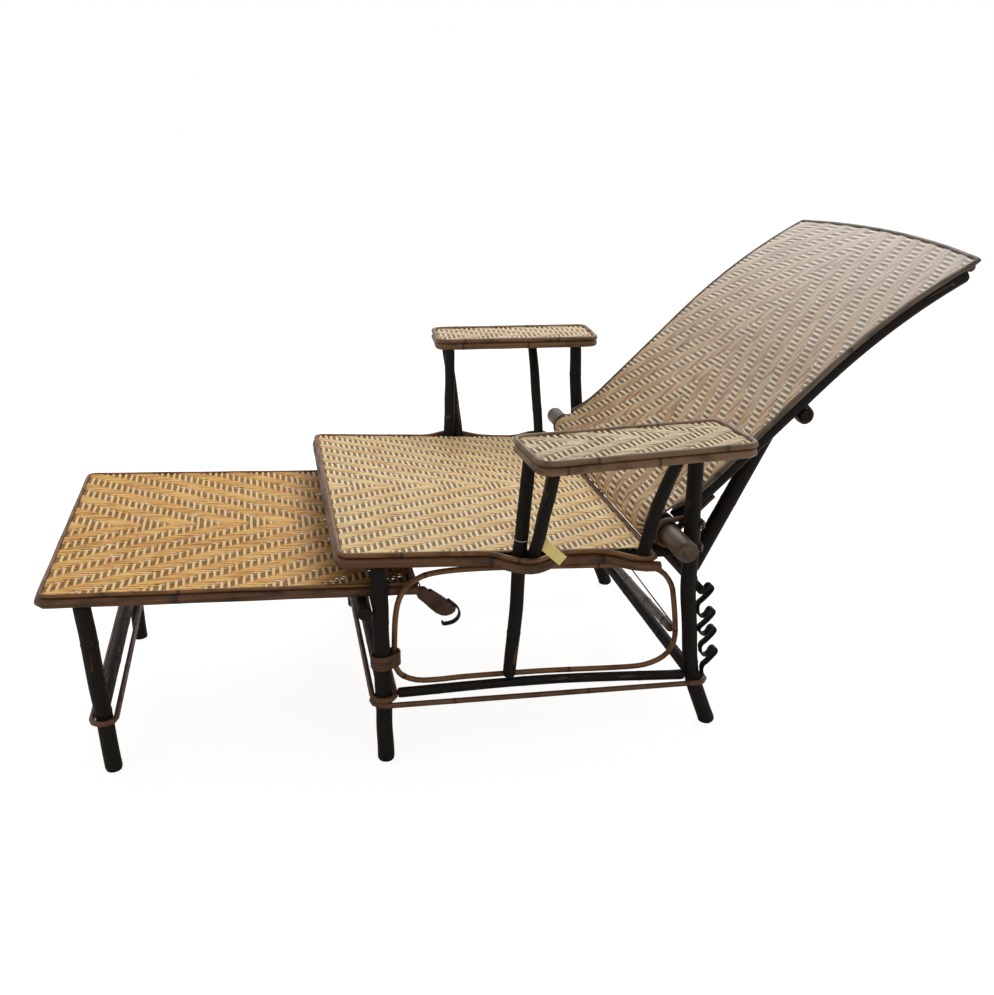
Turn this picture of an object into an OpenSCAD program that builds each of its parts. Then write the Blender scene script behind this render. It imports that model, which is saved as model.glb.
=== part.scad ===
// Reclining rattan long chair with a pull-out footrest, millimetres.
// +X points from the foot end to the head end, +Z up, +Y to the sitter's right.
// Every piece is drawn from the seat's front edge (x = 0) and then moved so that
// the origin lies on the floor under the middle of the whole chair.

/* [Seat] */
// Width of the seat over its border canes
seat_w = 604; // [480:1:700]
// Length of the seat from its front edge to the rear border
seat_len = 486; // [430:1:560]
// Height of the top of the seat at its front edge
seat_h = 366; // [330:1:420]
// Fall of the seat towards the back, in degrees
seat_fall = 3.7; // [0:0.1:5]
// Thickness of the woven seat
seat_mat_t = 6; // [4:0.5:10]
// Diameter of the side bars under the seat
seat_bar_d = 22; // [16:1:26]
// Diameter of the cross bars under the seat
cross_bar_d = 18; // [12:1:22]
// Number of cross bars under the seat
seat_cross_bars = 4; // [2:1:6]

/* [Canes] */
// Diameter of the thick border cane
border_d = 16; // [12:1:18]
// Diameter of the thin edge cane that lies on the border cane
edge_d = 8; // [5:1:10]
// Diameter of the canes wrapped round the stretchers
wrap_d = 9; // [6:1:11]
// Diameter of the bent cane loops at the sides
loop_d = 9; // [6:1:11]
// Diameter of the thin lashings
lash_d = 5; // [3:0.5:6]

/* [Legs and stretchers] */
// Diameter of the four legs
leg_d = 25; // [20:1:28]
// Distance of the front legs behind the seat's front edge
front_leg_x = 66; // [50:1:110]
// Half the distance between the feet of the chair
foot_half = 275; // [240:1:290]
// Outward lean of a leg from the floor to the seat
leg_lean = 12; // [0:1:20]
// Diameter of the front and rear stretchers
stretcher_d = 21; // [16:1:24]
// Diameter of the side stretchers
side_stretcher_d = 16; // [12:1:20]
// Height of the front stretcher
front_stretcher_z = 126; // [100:1:180]
// Height of the side stretchers at the front legs
side_stretcher_z = 117; // [90:1:160]
// Height of the side and rear stretchers at the rear legs
rear_stretcher_z = 94; // [80:1:130]

/* [Arms] */
// Length of an armrest
arm_len = 328; // [260:1:400]
// Width of an armrest
arm_w = 131; // [90:1:150]
// Height of the top of the armrests
arm_h = 536; // [500:1:620]
// Distance of the armrests behind the seat's front edge
arm_x = 254; // [220:1:280]
// Distance of an armrest's inner front corner from the middle
arm_inner = 316.5; // [300:0.5:340]
// Turn of the armrests towards the middle at the rear, in degrees
arm_toe_in = 4.5; // [0:0.5:6]
// Diameter of the lower border cane of an armrest
arm_border_d = 13; // [10:1:15]
// Diameter of the middle and outer arm posts
post_d = 21; // [16:1:23]

/* [Back] */
// Length of the back along its rails
back_len = 617; // [520:1:760]
// Width of the woven back
back_mat_w = 544; // [420:1:560]
// Angle of the back above level in the shown position
back_angle = 43.5; // [35:0.5:60]
// Length of the straight lower part of the back
back_straight = 326; // [310:1:420]
// Turn of the curved upper part of the back, in degrees
back_bend = 16.2; // [5:0.1:30]
// Rise of the bowed crest above the corners of the back
crest_rise = 22; // [5:1:40]
// Diameter of the back's side rails
back_rail_d = 27; // [20:1:30]
// Thickness of the woven back
back_mat_t = 5; // [4:0.5:8]
// Diameter of the pole that the back turns on
hinge_pole_d = 33.4; // [26:0.2:38]
// Length of the hinge pole
hinge_pole_len = 742; // [700:1:800]
// Distance of the hinge pole behind the seat's rear edge
hinge_back = 24; // [20:1:60]
// Height of the middle of the hinge pole above the line of the seat's top
hinge_rise = 21.98; // [12:0.01:60]

/* [Prop and rack] */
// Diameter of the prop's legs
prop_leg_d = 27; // [20:1:30]
// Half the distance between the prop's legs
prop_half = 228; // [180:1:232]
// Diameter of the rod that the prop turns on
prop_rod_d = 21; // [14:1:24]
// Distance of the prop rod from the hinge pole, along the back
prop_rod_s = 277; // [240:1:300]
// Diameter of the prop's foot bar
foot_bar_d = 22; // [14:1:26]
// Diameter of the pegs in the foot bar's ends
foot_pin_d = 10; // [8:1:14]
// Play of the pegs in the rack's pockets
pocket_play = 1.3; // [0.8:0.1:2]
// Height of the upper pocket of the rack
rack_z = 252; // [220:1:280]
// Width of the iron strip of the rack
rack_w = 20; // [12:1:26]
// Thickness of the iron strips
iron_t = 3; // [2:0.5:4]

/* [Footrest] */
// Reach of the footrest in front of the seat
footrest_reach = 417; // [320:1:480]
// Length of the footrest
footrest_len = 547; // [460:1:600]
// Width of the footrest over its border canes
footrest_w = 538; // [420:1:544]
// Height of the top of the footrest at the foot end
footrest_h = 325; // [290:1:330]
// Fall of the footrest towards the seat, in degrees
footrest_fall = 3.1; // [0:0.1:4]
// Distance of the footrest's legs from its front edge, at the floor
footrest_leg_in = 68; // [50:1:110]
// Half the distance between the footrest's feet
footrest_foot_half = 217; // [170:1:230]
// Height of the footrest's stretcher
footrest_stretcher_z = 112; // [90:1:160]

/* [Catch] */
// Length of the wooden catch
catch_len = 60; // [40:1:80]
// Depth of the wooden catch
catch_h = 24; // [16:1:30]
// Thickness of the wooden catch
catch_t = 11; // [8:1:12]
// Angle at which the catch hangs below level
catch_hang = 40; // [20:1:50]

/* [Fit] */
// Gap between pieces that touch
gap = 0.3; // [0.2:0.05:0.5]

/* [Hidden] */
$fn = 40;
STICK_SIDES = 10;
CANE_SIDES = 8;
LASH_SIDES = 6;
NEAR = -1;
FAR = 1;
BARK = "#2b2622";
CANE = "#7a4a2b";
STRAW = "#d2ab6a";
BAMBOO = "#b39a72";
IRON = "#1f1f20";
PAPER = "#e6cf72";

seat_half = seat_w / 2;
border_y = seat_half - border_d / 2;
border_x = border_d / 2;
seat_mat_half = border_y - edge_d / 2 - gap;
seat_bar_y = seat_half - leg_d - seat_bar_d / 2 - 4.5;
border_drop = edge_d + border_d / 2;
bar_drop = edge_d + seat_bar_d / 2;
leg_top_y = seat_half - 15;
hinge_r = hinge_pole_d / 2;
leg_r = leg_d / 2;
post_r = post_d / 2;

function seat_z(x) = seat_h - x * tan(seat_fall);
function footrest_z(x) = footrest_h - (x + footrest_reach) * tan(footrest_fall);
function unit(v) = v / norm(v);
hinge_x = seat_len + hinge_back;
hinge_z = seat_z(hinge_x) + hinge_rise;
function xyz(p) = [p[0], p[1], p[2]];

// Smooth curve through knots [x, y, z, diameter], a number of steps per span
function knot(k, i, closed) = closed ? k[(i + len(k)) % len(k)] : k[max(0, min(len(k) - 1, i))];
function along(a, b, c, d, t) =
    (2 * b + (c - a) * t + (2 * a - 5 * b + 4 * c - d) * t * t + (3 * b - a - 3 * c + d) * t * t * t) / 2;
function curve(k, steps, closed = false) = concat(
    [for (i = [0 : len(k) - (closed ? 1 : 2)]) for (j = [0 : steps - 1])
        along(knot(k, i - 1, closed), knot(k, i, closed), knot(k, i + 1, closed), knot(k, i + 2, closed),
              j / steps)],
    closed ? [] : [k[len(k) - 1]]);

// Round tube swept along a curve; level ends are cut square to Z
module tube_on(path, sides, closed = false, up = [0, 0, 1], level = [false, false]) {
    n = len(path);
    function heading(i) =
        !closed && i == 0 ? (level[0] ? [0, 0, sign(path[1].z - path[0].z)] : unit(xyz(path[1]) - xyz(path[0]))) :
        !closed && i == n - 1 ? (level[1] ? [0, 0, sign(path[n - 1].z - path[n - 2].z)]
                                          : unit(xyz(path[n - 1]) - xyz(path[n - 2]))) :
        unit(xyz(path[(i + 1) % n]) - xyz(path[(i + n - 1) % n]));
    function ring(i) =
        let (h = heading(i), a = unit(cross(h, up)), b = cross(a, h))
        [for (k = [0 : sides - 1])
            xyz(path[i]) + path[i][3] / 2 * (cos(360 * k / sides) * a + sin(360 * k / sides) * b)];
    last = closed ? n - 1 : n - 2;
    walls = [for (i = [0 : last]) for (k = [0 : sides - 1])
        let (a = i * sides + k, b = i * sides + (k + 1) % sides,
             c = ((i + 1) % n) * sides + (k + 1) % sides, d = ((i + 1) % n) * sides + k)
        each [[a, b, c], [a, c, d]]];
    caps = closed ? [] : [[for (k = [sides - 1 : -1 : 0]) k], [for (k = [0 : sides - 1]) (n - 1) * sides + k]];
    polyhedron(points = [for (i = [0 : n - 1]) each ring(i)], faces = concat(walls, caps), convexity = 8);
}

module stick(knots, steps = 3, level = [true, true]) {
    tube_on(curve(knots, steps), STICK_SIDES, up = [0, 1, 0], level = level);
}

module cane_loop(knots, steps = 3, sides = CANE_SIDES, up = [0, 0, 1]) {
    tube_on(curve(knots, steps, true), sides, closed = true, up = up);
}

// Straight pole between two points
module pole(a, b, d, d2 = 0) {
    v = b - a;
    translate(a) rotate([0, acos(v.z / norm(v)), atan2(v.y, v.x)])
        cylinder(h = norm(v), d1 = d, d2 = d2 == 0 ? d : d2);
}

// Cross pole along Y, centred on the middle plane
module cross_pole(x, z, half, d) {
    translate([x, half, z]) rotate([90, 0, 0]) cylinder(h = 2 * half, d = d);
}

// Outline with round corners
module round_rect(l, w, r) {
    translate([r, r - w / 2]) square([l - 2 * r, w - 2 * r]);
    translate([0, r - w / 2]) square([l, w - 2 * r]);
    translate([r, -w / 2]) square([l - 2 * r, w]);
    for (x = [r, l - r], y = [r - w / 2, w / 2 - r]) translate([x, y]) circle(r);
}

// Closed cane bent to a rectangle with round corners, from x = 0 to l
function rect_knots(l, w, r, d) =
    [for (c = [[l - r, w / 2 - r, 0], [r, w / 2 - r, 90], [r, r - w / 2, 180], [l - r, r - w / 2, 270]])
        for (a = [0, 30, 60, 90]) [c.x + r * cos(c.z + a), c.y + r * sin(c.z + a), 0, d]];
function front_bend(l, w, r, d) = [for (p = rect_knots(l, w, r, d)) if (p.x < l / 2) p];
module cane_rect(l, w, r, d) {
    tube_on(rect_knots(l, w, r, d), CANE_SIDES, closed = true);
}

// Cane that runs on both sides of two upright sticks and turns round them
module wrap_cane(a, b, stick_d, d) {
    r = (stick_d + d) / 2 + gap;
    v = b - a;
    translate(a) rotate([0, 0, atan2(v.y, v.x)]) rotate([0, -asin(v.z / norm(v)), 0]) {
        for (y = [-r, r]) translate([0, y, 0]) rotate([0, 90, 0]) cylinder(h = norm(v), d = d);
        rotate([0, 0, 90]) rotate_extrude(angle = 180) translate([r, 0]) circle(d = d);
        translate([norm(v), 0, 0]) rotate([0, 0, -90])
            rotate_extrude(angle = 180) translate([r, 0]) circle(d = d);
    }
}

// Everything is moved so that the origin is under the middle of the chair
module placed() {
    translate([-middle_x, 0, 0]) children();
}

module sided(side) {
    if (side == FAR) children();
    else mirror([0, 1, 0]) children();
}

// The back, seen along its side: s runs up the rail line from the hinge, off is across it
back_radius = (back_len - back_straight) / (back_bend * PI / 180);
back_top_off = 10;
back_mid_off = back_top_off - back_mat_t / 2;
rail_off = back_top_off - back_mat_t - gap - back_rail_d / 2;
rod_off = rail_off - back_rail_d / 2 - prop_rod_d / 2 - gap;
back_rail_y = back_mat_w / 2 - back_rail_d / 2;
function back_xz(s, off, angle = back_angle) =
    let (bent = max(0, s - back_straight) / back_radius * 180 / PI, a = angle - bent,
         straight = min(s, back_straight),
         centre = [hinge_x, hinge_z] + straight * [cos(angle), sin(angle)]
                  - back_radius * [-sin(angle), cos(angle)])
    centre + (back_radius + off) * [-sin(a), cos(a)];
function back_xyz(s, y, off) = let (p = back_xz(s, off)) [p.x, y, p.y];
function crest_s(y) = back_len + crest_rise * (1 - pow(y / (back_mat_w / 2), 2));

// Extents along X, for the origin
crest_end = back_xz(back_len + crest_rise + edge_d / 2, 0);
middle_x = (crest_end.x - footrest_reach) / 2;

// Seat

post_x = arm_x + 18;
strut_x = arm_x + 37;
rear_strut_x = arm_x + 207;

// Plan of the border canes on one side: they swing out round the feet of the arm posts
swing = post_d + 14;
swing_half = 66;
front_corner_r = 16;
rear_corner_r = 20;
function bump(x, middle, half) = abs(x - middle) < half ? (1 + cos(180 * (x - middle) / half)) / 2 : 0;
function border_out(x) =
    border_y + swing * max(bump(x, (post_x + strut_x) / 2, swing_half), bump(x, rear_strut_x, swing_half));
function corner(x, y, r, from) = [for (a = [0, 30, 60, 90]) [x + r * cos(from + a), y + r * sin(from + a)]];
border_end = seat_len - border_x;
border_side = concat(
    corner(border_end - rear_corner_r, border_out(rear_strut_x) - rear_corner_r, rear_corner_r, 0),
    [for (x = [444 : -16 : 364]) [x, border_out(x)]],
    [for (x = [334, 322, 310, 300, 291, 282, 272, 262, 252, 240, 228, 215]) [x, border_out(x)]],
    [[120, border_y]],
    corner(border_x + front_corner_r, border_y - front_corner_r, front_corner_r, 90));
function seat_border(side, drop, d) = let (n = len(side)) [
    for (i = [0 : n - 1]) [side[i].x, side[i].y, seat_z(side[i].x) - drop, d],
    for (i = [n - 1 : -1 : 0]) [side[i].x, -side[i].y, seat_z(side[i].x) - drop, d],
];

module seat_mat() {
    color(STRAW) placed() translate([0, 0, seat_h - edge_d + gap]) rotate([0, seat_fall, 0])
        linear_extrude(seat_mat_t)
            translate([border_x + edge_d / 2 + gap, 0])
                round_rect(seat_len - 2 * border_x - edge_d - 2 * gap, 2 * seat_mat_half, front_corner_r - 1);
}

module seat_edge_cane() {
    color(CANE) placed() tube_on(seat_border(border_side, edge_d / 2, edge_d), CANE_SIDES, closed = true);
}

// The thick cane is open at the rear, where the side bars pass on to the rear rail
module seat_border_cane() {
    open_side = [[seat_len - 2, border_out(rear_strut_x)], [rear_strut_x, border_out(rear_strut_x)],
                 each [for (i = [4 : len(border_side) - 1]) border_side[i]]];
    color(CANE) placed() tube_on(seat_border(open_side, border_drop + gap, border_d), CANE_SIDES);
}

module seat_side_bars() {
    bar_end = rear_hinge_x - rear_rail_d / 2 + 2 * gap;
    color(BARK) placed() for (side = [NEAR, FAR])
        pole([border_d + 8, side * seat_bar_y, seat_z(border_d + 8) - bar_drop],
             [bar_end, side * seat_bar_y, seat_z(bar_end) - bar_drop], seat_bar_d);
}

module seat_cross_bars() {
    first = border_d + cross_bar_d / 2 + 8;
    pitch = (seat_len - border_d - cross_bar_d / 2 - 8 - first) / (seat_cross_bars - 1);
    color(BARK) placed() for (i = [0 : seat_cross_bars - 1])
        cross_pole(first + i * pitch, seat_z(first + i * pitch) - edge_d - cross_bar_d / 2,
                   seat_bar_y - seat_bar_d / 2 - gap, cross_bar_d);
}

// Chair legs, from the floor up

rear_foot_x = 608;
rear_wrap_x = 573;
rear_knee_x = 551;
rear_knee_z = 250;
rear_hinge_x = hinge_x + hinge_r + leg_r + 2 * gap;
rear_hinge_y = seat_half + 6;
rear_top_x = 534;
rear_top_y = seat_half + 11;
arm_under = arm_h - arm_border_d - 9;
leg_slope = leg_lean / seat_h;
function front_leg_y(z) = foot_half + leg_slope * z;
rear_knee_y = foot_half + 13;

front_leg_top = seat_z(front_leg_x) - edge_d - border_d - 2 * gap;
function front_leg_knots() = [
    [front_leg_x + 1, foot_half, 0, leg_d + 2], [front_leg_x, front_leg_y(60), 60, leg_d],
    [front_leg_x - 1, front_leg_y(180), 180, leg_d], [front_leg_x - 2, front_leg_y(front_leg_top),
    front_leg_top, leg_d - 1],
];
function rear_leg_knots() = [
    [rear_foot_x, foot_half, 0, leg_d + 4], [rear_foot_x - 5, foot_half, 14, leg_d + 1],
    [rear_wrap_x + 5, foot_half + 1, 78, leg_d + 1], [rear_wrap_x - 3, foot_half + 2, 112, leg_d],
    [rear_knee_x + 9, foot_half + 8, 184, leg_d], [rear_knee_x, rear_knee_y, rear_knee_z, leg_d],
    [rear_hinge_x + 1, rear_hinge_y, hinge_z - 16, leg_d], [rear_hinge_x, rear_hinge_y, hinge_z + 16, leg_d],
    [rear_top_x + 2, rear_top_y, 450, leg_d - 1], [rear_top_x, rear_top_y, arm_under - gap, leg_d - 2],
];

module front_leg(side) {
    color(BARK) placed() sided(side) stick(front_leg_knots());
}

module rear_leg(side) {
    color(BARK) placed() sided(side) stick(rear_leg_knots());
}

// Stretchers and the canes that wrap them

// A stick's flat side lies nearer to its middle than its edges do
stick_flat = cos(180 / STICK_SIDES);
front_stretcher_half = front_leg_y(front_stretcher_z) - leg_r * stick_flat - 2 * gap;
rear_stretcher_half = foot_half + 1.5 - leg_r * stick_flat - 3 * gap;
module front_stretcher() {
    color(BARK) placed() cross_pole(front_leg_x, front_stretcher_z, front_stretcher_half, stretcher_d);
}

module rear_stretcher() {
    color(BARK) placed() cross_pole(rear_wrap_x, rear_stretcher_z, rear_stretcher_half, stretcher_d - 1);
}

module side_stretcher(side) {
    y = foot_half + 3;
    a = front_leg_x + leg_r + wrap_d + 4 * gap;
    b = rear_wrap_x - leg_r - 3;
    arch = 7;
    middle = (side_stretcher_z + rear_stretcher_z) / 2 + arch;
    d = side_stretcher_d;
    color(BARK) placed() sided(side)
        tube_on(curve([[a, y, side_stretcher_z, d], [(a + b) / 2, y, middle, d - 1],
                       [b, y, rear_stretcher_z, d]], 4), STICK_SIDES);
}

wrap_gap = 0.4;
front_wrap_z = front_stretcher_z - stretcher_d / 2 - wrap_d / 2 - 1;
side_wrap_drop = side_stretcher_d / 2 + wrap_d / 2 + 2;
module front_wrap_cane() {
    y = front_leg_y(front_wrap_z);
    color(CANE) placed() wrap_cane([front_leg_x, -y, front_wrap_z], [front_leg_x, y, front_wrap_z],
                                   leg_d + 2 * wrap_gap, wrap_d);
}

module side_wrap_cane(side) {
    a = side_stretcher_z - side_wrap_drop - 3;
    b = rear_stretcher_z - side_wrap_drop - 1;
    color(CANE) placed() sided(side)
        wrap_cane([front_leg_x, front_leg_y(a), a], [rear_wrap_x + 5, foot_half + 1, b],
                  leg_d + 2 + 2 * wrap_gap, wrap_d);
}

// Bent cane loop between the legs, leaning with them
loop_foot_y = foot_half - 9;
loop_top_y = foot_half + 7;
function loop_y(z) = loop_foot_y + (loop_top_y - loop_foot_y) * (z - side_stretcher_z)
                     / (seat_z(0) - 40 - side_stretcher_z);
function loop_plan() = let (front = front_leg_x + leg_r + loop_d / 2 + 1, top = seat_z(0) - 45) [
    [front + 1, 190], [front + 4, 250], [front + 13, top - 36], [front + 34, top - 14], [front + 68, top - 4],
    [230, seat_z(230) - 34], [380, seat_z(380) - 34], [rear_knee_x - 90, seat_z(450) - 36],
    [rear_knee_x - 48, 288], [rear_knee_x - 26, 262], [rear_knee_x - 18, 232], [rear_knee_x - 10, 180],
    [rear_knee_x - 10, 150], [rear_knee_x - 22, 128], [rear_knee_x - 48, 115], [rear_knee_x - 90, 112.5],
    [320, 122], [200, 126.5], [front + 68, 126.5], [front + 34, 130], [front + 10, 144], [front + 1, 165],
];
module side_loop(side) {
    color(CANE) placed() sided(side)
        cane_loop([for (p = loop_plan()) [p.x, loop_y(p.y), p.y, loop_d]], 2, up = [0, 1, 0]);
}

// Flat cane band that ties the loop to the front leg
module leg_band(side) {
    band_t = 2;
    band_h = 32;
    z = 162;
    reach = leg_r + loop_d / 2 + 2;
    module outline(more) {
        circle(leg_r + more);
        translate([reach, loop_y(z) - front_leg_y(z) - 1]) circle(loop_d / 2 + more);
        translate([0, -leg_r * 0.78 - more]) square([reach, leg_r + 2 * more]);
    }
    color(CANE) placed() sided(side)
        translate([front_leg_x - 1, front_leg_y(z) + 1, z]) rotate([-atan(leg_slope) - 0.6, 0, 0])
            linear_extrude(band_h) difference() {
                outline(band_t + 5 * gap);
                outline(5 * gap);
            }
}

// Arm posts and struts

post_foot = side_stretcher_z + 7;
function post_knots() = [
    [post_x - 9, foot_half + 5, post_foot + 5, post_d - 1], [post_x - 4, foot_half + 11, 200, post_d],
    [post_x - 1, foot_half + 20, 280, post_d], [post_x, seat_half - 1, seat_z(post_x), post_d],
    [post_x + 4, arm_inner - 4, 430, post_d - 1],
    [post_x + 7, arm_inner + 8, arm_under - gap, post_d - 2],
];
strut_foot_z = seat_z(strut_x) - 20;
function front_strut_knots() = [
    [strut_x + 1, seat_half + 5, strut_foot_z, post_d - 2],
    [strut_x + 1, seat_half + 9, seat_z(strut_x), post_d - 2],
    [strut_x, seat_half + 52, 412, post_d - 2],
    [strut_x - 4, arm_inner + arm_w - 25, arm_under - gap, post_d - 2],
];
function rear_strut_knots() = [
    [rear_strut_x, seat_half + 8, seat_z(rear_strut_x) - 12, post_d - 2],
    [rear_strut_x + 2, seat_half + 52, 425, post_d - 1],
    [rear_strut_x + 6, arm_inner + arm_w - 38, arm_under - gap, post_d - 3],
];

module arm_post(side) {
    color(BARK) placed() sided(side) stick(post_knots());
}

module front_strut(side) {
    color(BARK) placed() sided(side) stick(front_strut_knots());
}

module rear_strut(side) {
    color(BARK) placed() sided(side) stick(rear_strut_knots());
}

// Armrests, drawn from their inner front corner

arm_edge_d = 9;
module arm_placed(side) {
    placed() sided(side) translate([arm_x - 4, arm_inner, 0]) rotate([0, 0, -arm_toe_in])
        translate([0, arm_w / 2, 0]) children();
}

module arm_mat(side) {
    inset = arm_edge_d + gap;
    color(STRAW) arm_placed(side) translate([inset, 0, arm_h - arm_edge_d + gap])
        linear_extrude(arm_edge_d - 2) round_rect(arm_len - 2 * inset, arm_w - 2 * inset, 13);
}

module arm_border_canes(side) {
    color(CANE) arm_placed(side) {
        translate([arm_border_d / 2, 0, arm_under + arm_border_d / 2])
            cane_rect(arm_len - arm_border_d, arm_w - arm_border_d, 14, arm_border_d);
        translate([arm_edge_d / 2, 0, arm_h - arm_edge_d / 2 + gap])
            cane_rect(arm_len - arm_edge_d, arm_w - arm_edge_d, 15, arm_edge_d);
    }
}

module arm_cross_bars(side) {
    d = arm_border_d;
    color(BARK) arm_placed(side) for (x = arm_len * [0.1, 0.676, 0.86])
        translate([x, arm_w / 2 - arm_border_d - gap, arm_under + d / 2])
            rotate([90, 0, 0]) cylinder(h = arm_w - 2 * arm_border_d - 2 * gap, d = d);
}

// Hinge pole, its lashings, and the rail behind the seat

module hinge_pole() {
    color(BAMBOO) placed() cross_pole(hinge_x, hinge_z, hinge_pole_len / 2, hinge_pole_d);
}

lash_out = leg_r + lash_d / 2 + 1.8;
module hinge_lashing(side) {
    r = hinge_r + lash_d / 2 + 0.6;
    out = lash_out;
    low = hinge_z - r;
    high = hinge_z + r + 1;
    function run(y) = [
        [rear_hinge_x + 6, y, low - 1], [hinge_x + 6, y, low], [hinge_x - 0.62 * r, y, hinge_z - 0.8 * r],
        [hinge_x - r, y, hinge_z], [hinge_x - 0.62 * r, y, hinge_z + 0.8 * r], [hinge_x + 6, y, high],
        [rear_hinge_x + 6, y, high],
    ];
    outer = run(rear_hinge_y + out);
    inner = run(rear_hinge_y - out);
    back = rear_hinge_x + out + 1;
    knots = [
        [back, rear_hinge_y, low - 1], each outer, [back, rear_hinge_y, high],
        each [for (i = [len(inner) - 1 : -1 : 0]) inner[i]],
    ];
    color(CANE) placed() sided(side)
        cane_loop([for (p = knots) [p.x, p.y, p.z, lash_d]], 2, LASH_SIDES, up = [0.1, 0.2, 1]);
}

rear_rail_d = 22;
rear_rail_z = seat_z(rear_hinge_x) - edge_d / 2;
module seat_rear_rail() {
    color(BARK) placed()
        cross_pole(rear_hinge_x + 1, rear_rail_z, rear_hinge_y - lash_out - lash_d / 2 - 1, rear_rail_d);
}

// Pale pole that leans on the rear stretcher, pegged to the near rear leg, with a thin cane on it
rear_pole_d = 14;
knuckle = [rear_wrap_x - 28, -243, 163];
module rear_pole() {
    rest_z = rear_stretcher_z + (stretcher_d - 1) / 2 + rear_pole_d / 2 + 2 * gap;
    color(BAMBOO) placed() {
        pole(knuckle, [rear_wrap_x, 135, rest_z], rear_pole_d);
        translate(knuckle) sphere(d = 20);
        pole(knuckle, knuckle + [12.5, -26, 0], 9);
    }
}

module rear_thin_cane() {
    color(CANE) placed() pole(knuckle + [0, -3, 11.9], knuckle + [12, 223, 3], 3);
}

// Bearer in front of the front legs, which the footrest slides on
bearer_d = 22;
bearer_x = front_leg_x - leg_r - bearer_d / 2 - 2.1;
footrest_bar_d = 18;
footrest_edge_d = 6;
footrest_border_d = 15;
bearer_z = footrest_z(bearer_x) - footrest_edge_d - footrest_bar_d - bearer_d / 2 - 2 * gap;
module bearer() {
    color(BARK) placed() cross_pole(bearer_x, bearer_z, seat_half - 6, bearer_d);
}

// Iron rack: strips bent to four open teeth, drawn down the leg from its upper pocket

tooth_drops = [0, 43, 76, 115];
rack_tilt = atan((rear_wrap_x - rear_knee_x) / (rear_knee_z - rear_stretcher_z));
pin_r = foot_pin_d / 2;
pocket_r = pin_r + pocket_play + iron_t / 2;
pocket_out = pocket_r + iron_t / 2;
function tooth(u) = [
    for (a = [180 : 32 : 340]) [pocket_out + pocket_r * cos(a), u - pocket_r * sin(a)],
    [19, u - 1], [22.5, u - 3], [26.5, u - 2], [29, u + 2], [27, u + 8], [12, u + 20], [iron_t / 2, u + 26],
];
upper_strip = [[iron_t / 2, -24], each tooth(0), [iron_t / 2, tooth_drops[1] - 13]];
lower_strip = [[iron_t / 2, tooth_drops[1] - 13 + gap], for (i = [1 : 3]) each tooth(tooth_drops[i]),
               [iron_t / 2, tooth_drops[3] + 44]];
function strip_normal(p, i) =
    let (v = p[min(len(p) - 1, i + 1)] - p[max(0, i - 1)]) unit([-v.y, v.x]);
module strip(p, t) {
    n = len(p);
    polygon(concat([for (i = [0 : n - 1]) p[i] + t / 2 * strip_normal(p, i)],
                   [for (i = [n - 1 : -1 : 0]) p[i] - t / 2 * strip_normal(p, i)]));
}

rack_y = foot_half + 10;
rack_x = rear_knee_x + (rear_knee_z - rack_z) * tan(rack_tilt) + leg_r * 1.02 + 0.6;
function rack_point(out, down) =
    [rack_x + out * cos(rack_tilt) + down * sin(rack_tilt), rack_z + out * sin(rack_tilt) - down * cos(rack_tilt)];
module iron_rack(side) {
    color(IRON) placed() sided(side)
        translate([rack_x, rack_y + rack_w / 2, rack_z]) rotate([0, -rack_tilt, 0]) rotate([90, 0, 0])
            linear_extrude(rack_w) mirror([0, 1]) {
                strip(upper_strip, iron_t);
                strip(lower_strip, iron_t);
            }
}

// Back

roll_mid = hinge_r + 4 + gap + back_mat_t;
roll_start = 225;
roll_end = 112;
join_s = 95;
pull_s = 48;
function mat_path() =
    let (e = [hinge_x, hinge_z] + roll_mid * [cos(roll_end), sin(roll_end)],
         q = back_xz(pull_s, back_mid_off), f = back_xz(join_s, back_mid_off))
    concat([for (a = [roll_start : -14 : roll_end + 1]) [hinge_x, hinge_z] + roll_mid * [cos(a), sin(a)]],
           [for (t = [0 : 0.2 : 1]) (1 - t) * (1 - t) * e + 2 * t * (1 - t) * q + t * t * f],
           [for (i = [0 : 14]) back_xz(back_straight + i / 14 * (back_len + crest_rise - back_straight),
                                       back_mid_off)]);

module back_mat() {
    crest_r = (pow(back_mat_w / 2, 2) + crest_rise * crest_rise) / (2 * crest_rise);
    end_angle = back_angle - back_bend;
    end = back_xz(back_len + crest_rise - gap, 0);
    color(STRAW) placed() intersection() {
        translate([0, back_mat_w / 2, 0]) rotate([90, 0, 0]) linear_extrude(back_mat_w)
            strip(mat_path(), back_mat_t);
        translate([end.x - crest_r * cos(end_angle), 0, end.y - crest_r * sin(end_angle)])
            rotate([0, -end_angle, 0]) cylinder(h = 900, r = crest_r, center = true, $fn = 200);
    }
}

rail_bend = back_bend * (1 - (border_d - 2) / (back_len - back_straight));
module back_rail(side) {
    y = back_rail_y;
    start = back_xyz(hinge_r + 4.5 + 5 * gap, y, rail_off);
    bend = back_xyz(back_straight, y, rail_off);
    into_bend = 3 * unit(bend - start);
    centre = back_xz(back_straight, -back_radius);
    color(BARK) placed() sided(side) {
        pole(start, bend + into_bend, back_rail_d + 0.3, back_rail_d - 0.1);
        translate([centre.x, y, centre.y]) rotate([90, 0, 0]) rotate([0, 0, 90 + back_angle - rail_bend])
            rotate_extrude(angle = rail_bend) translate([back_radius + rail_off, 0]) circle(d = back_rail_d);
    }
}

// Bars between the rails, and the bowed bar under the crest
cross_s = [70, 160, 312, 410, 505];
module back_cross_bars() {
    off = back_top_off - back_mat_t - gap - cross_bar_d / 2;
    color(BARK) placed() for (s = cross_s)
        let (p = back_xz(s, off))
        cross_pole(p.x, p.y, back_rail_y - back_rail_d / 2 - gap, cross_bar_d);
}

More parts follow.
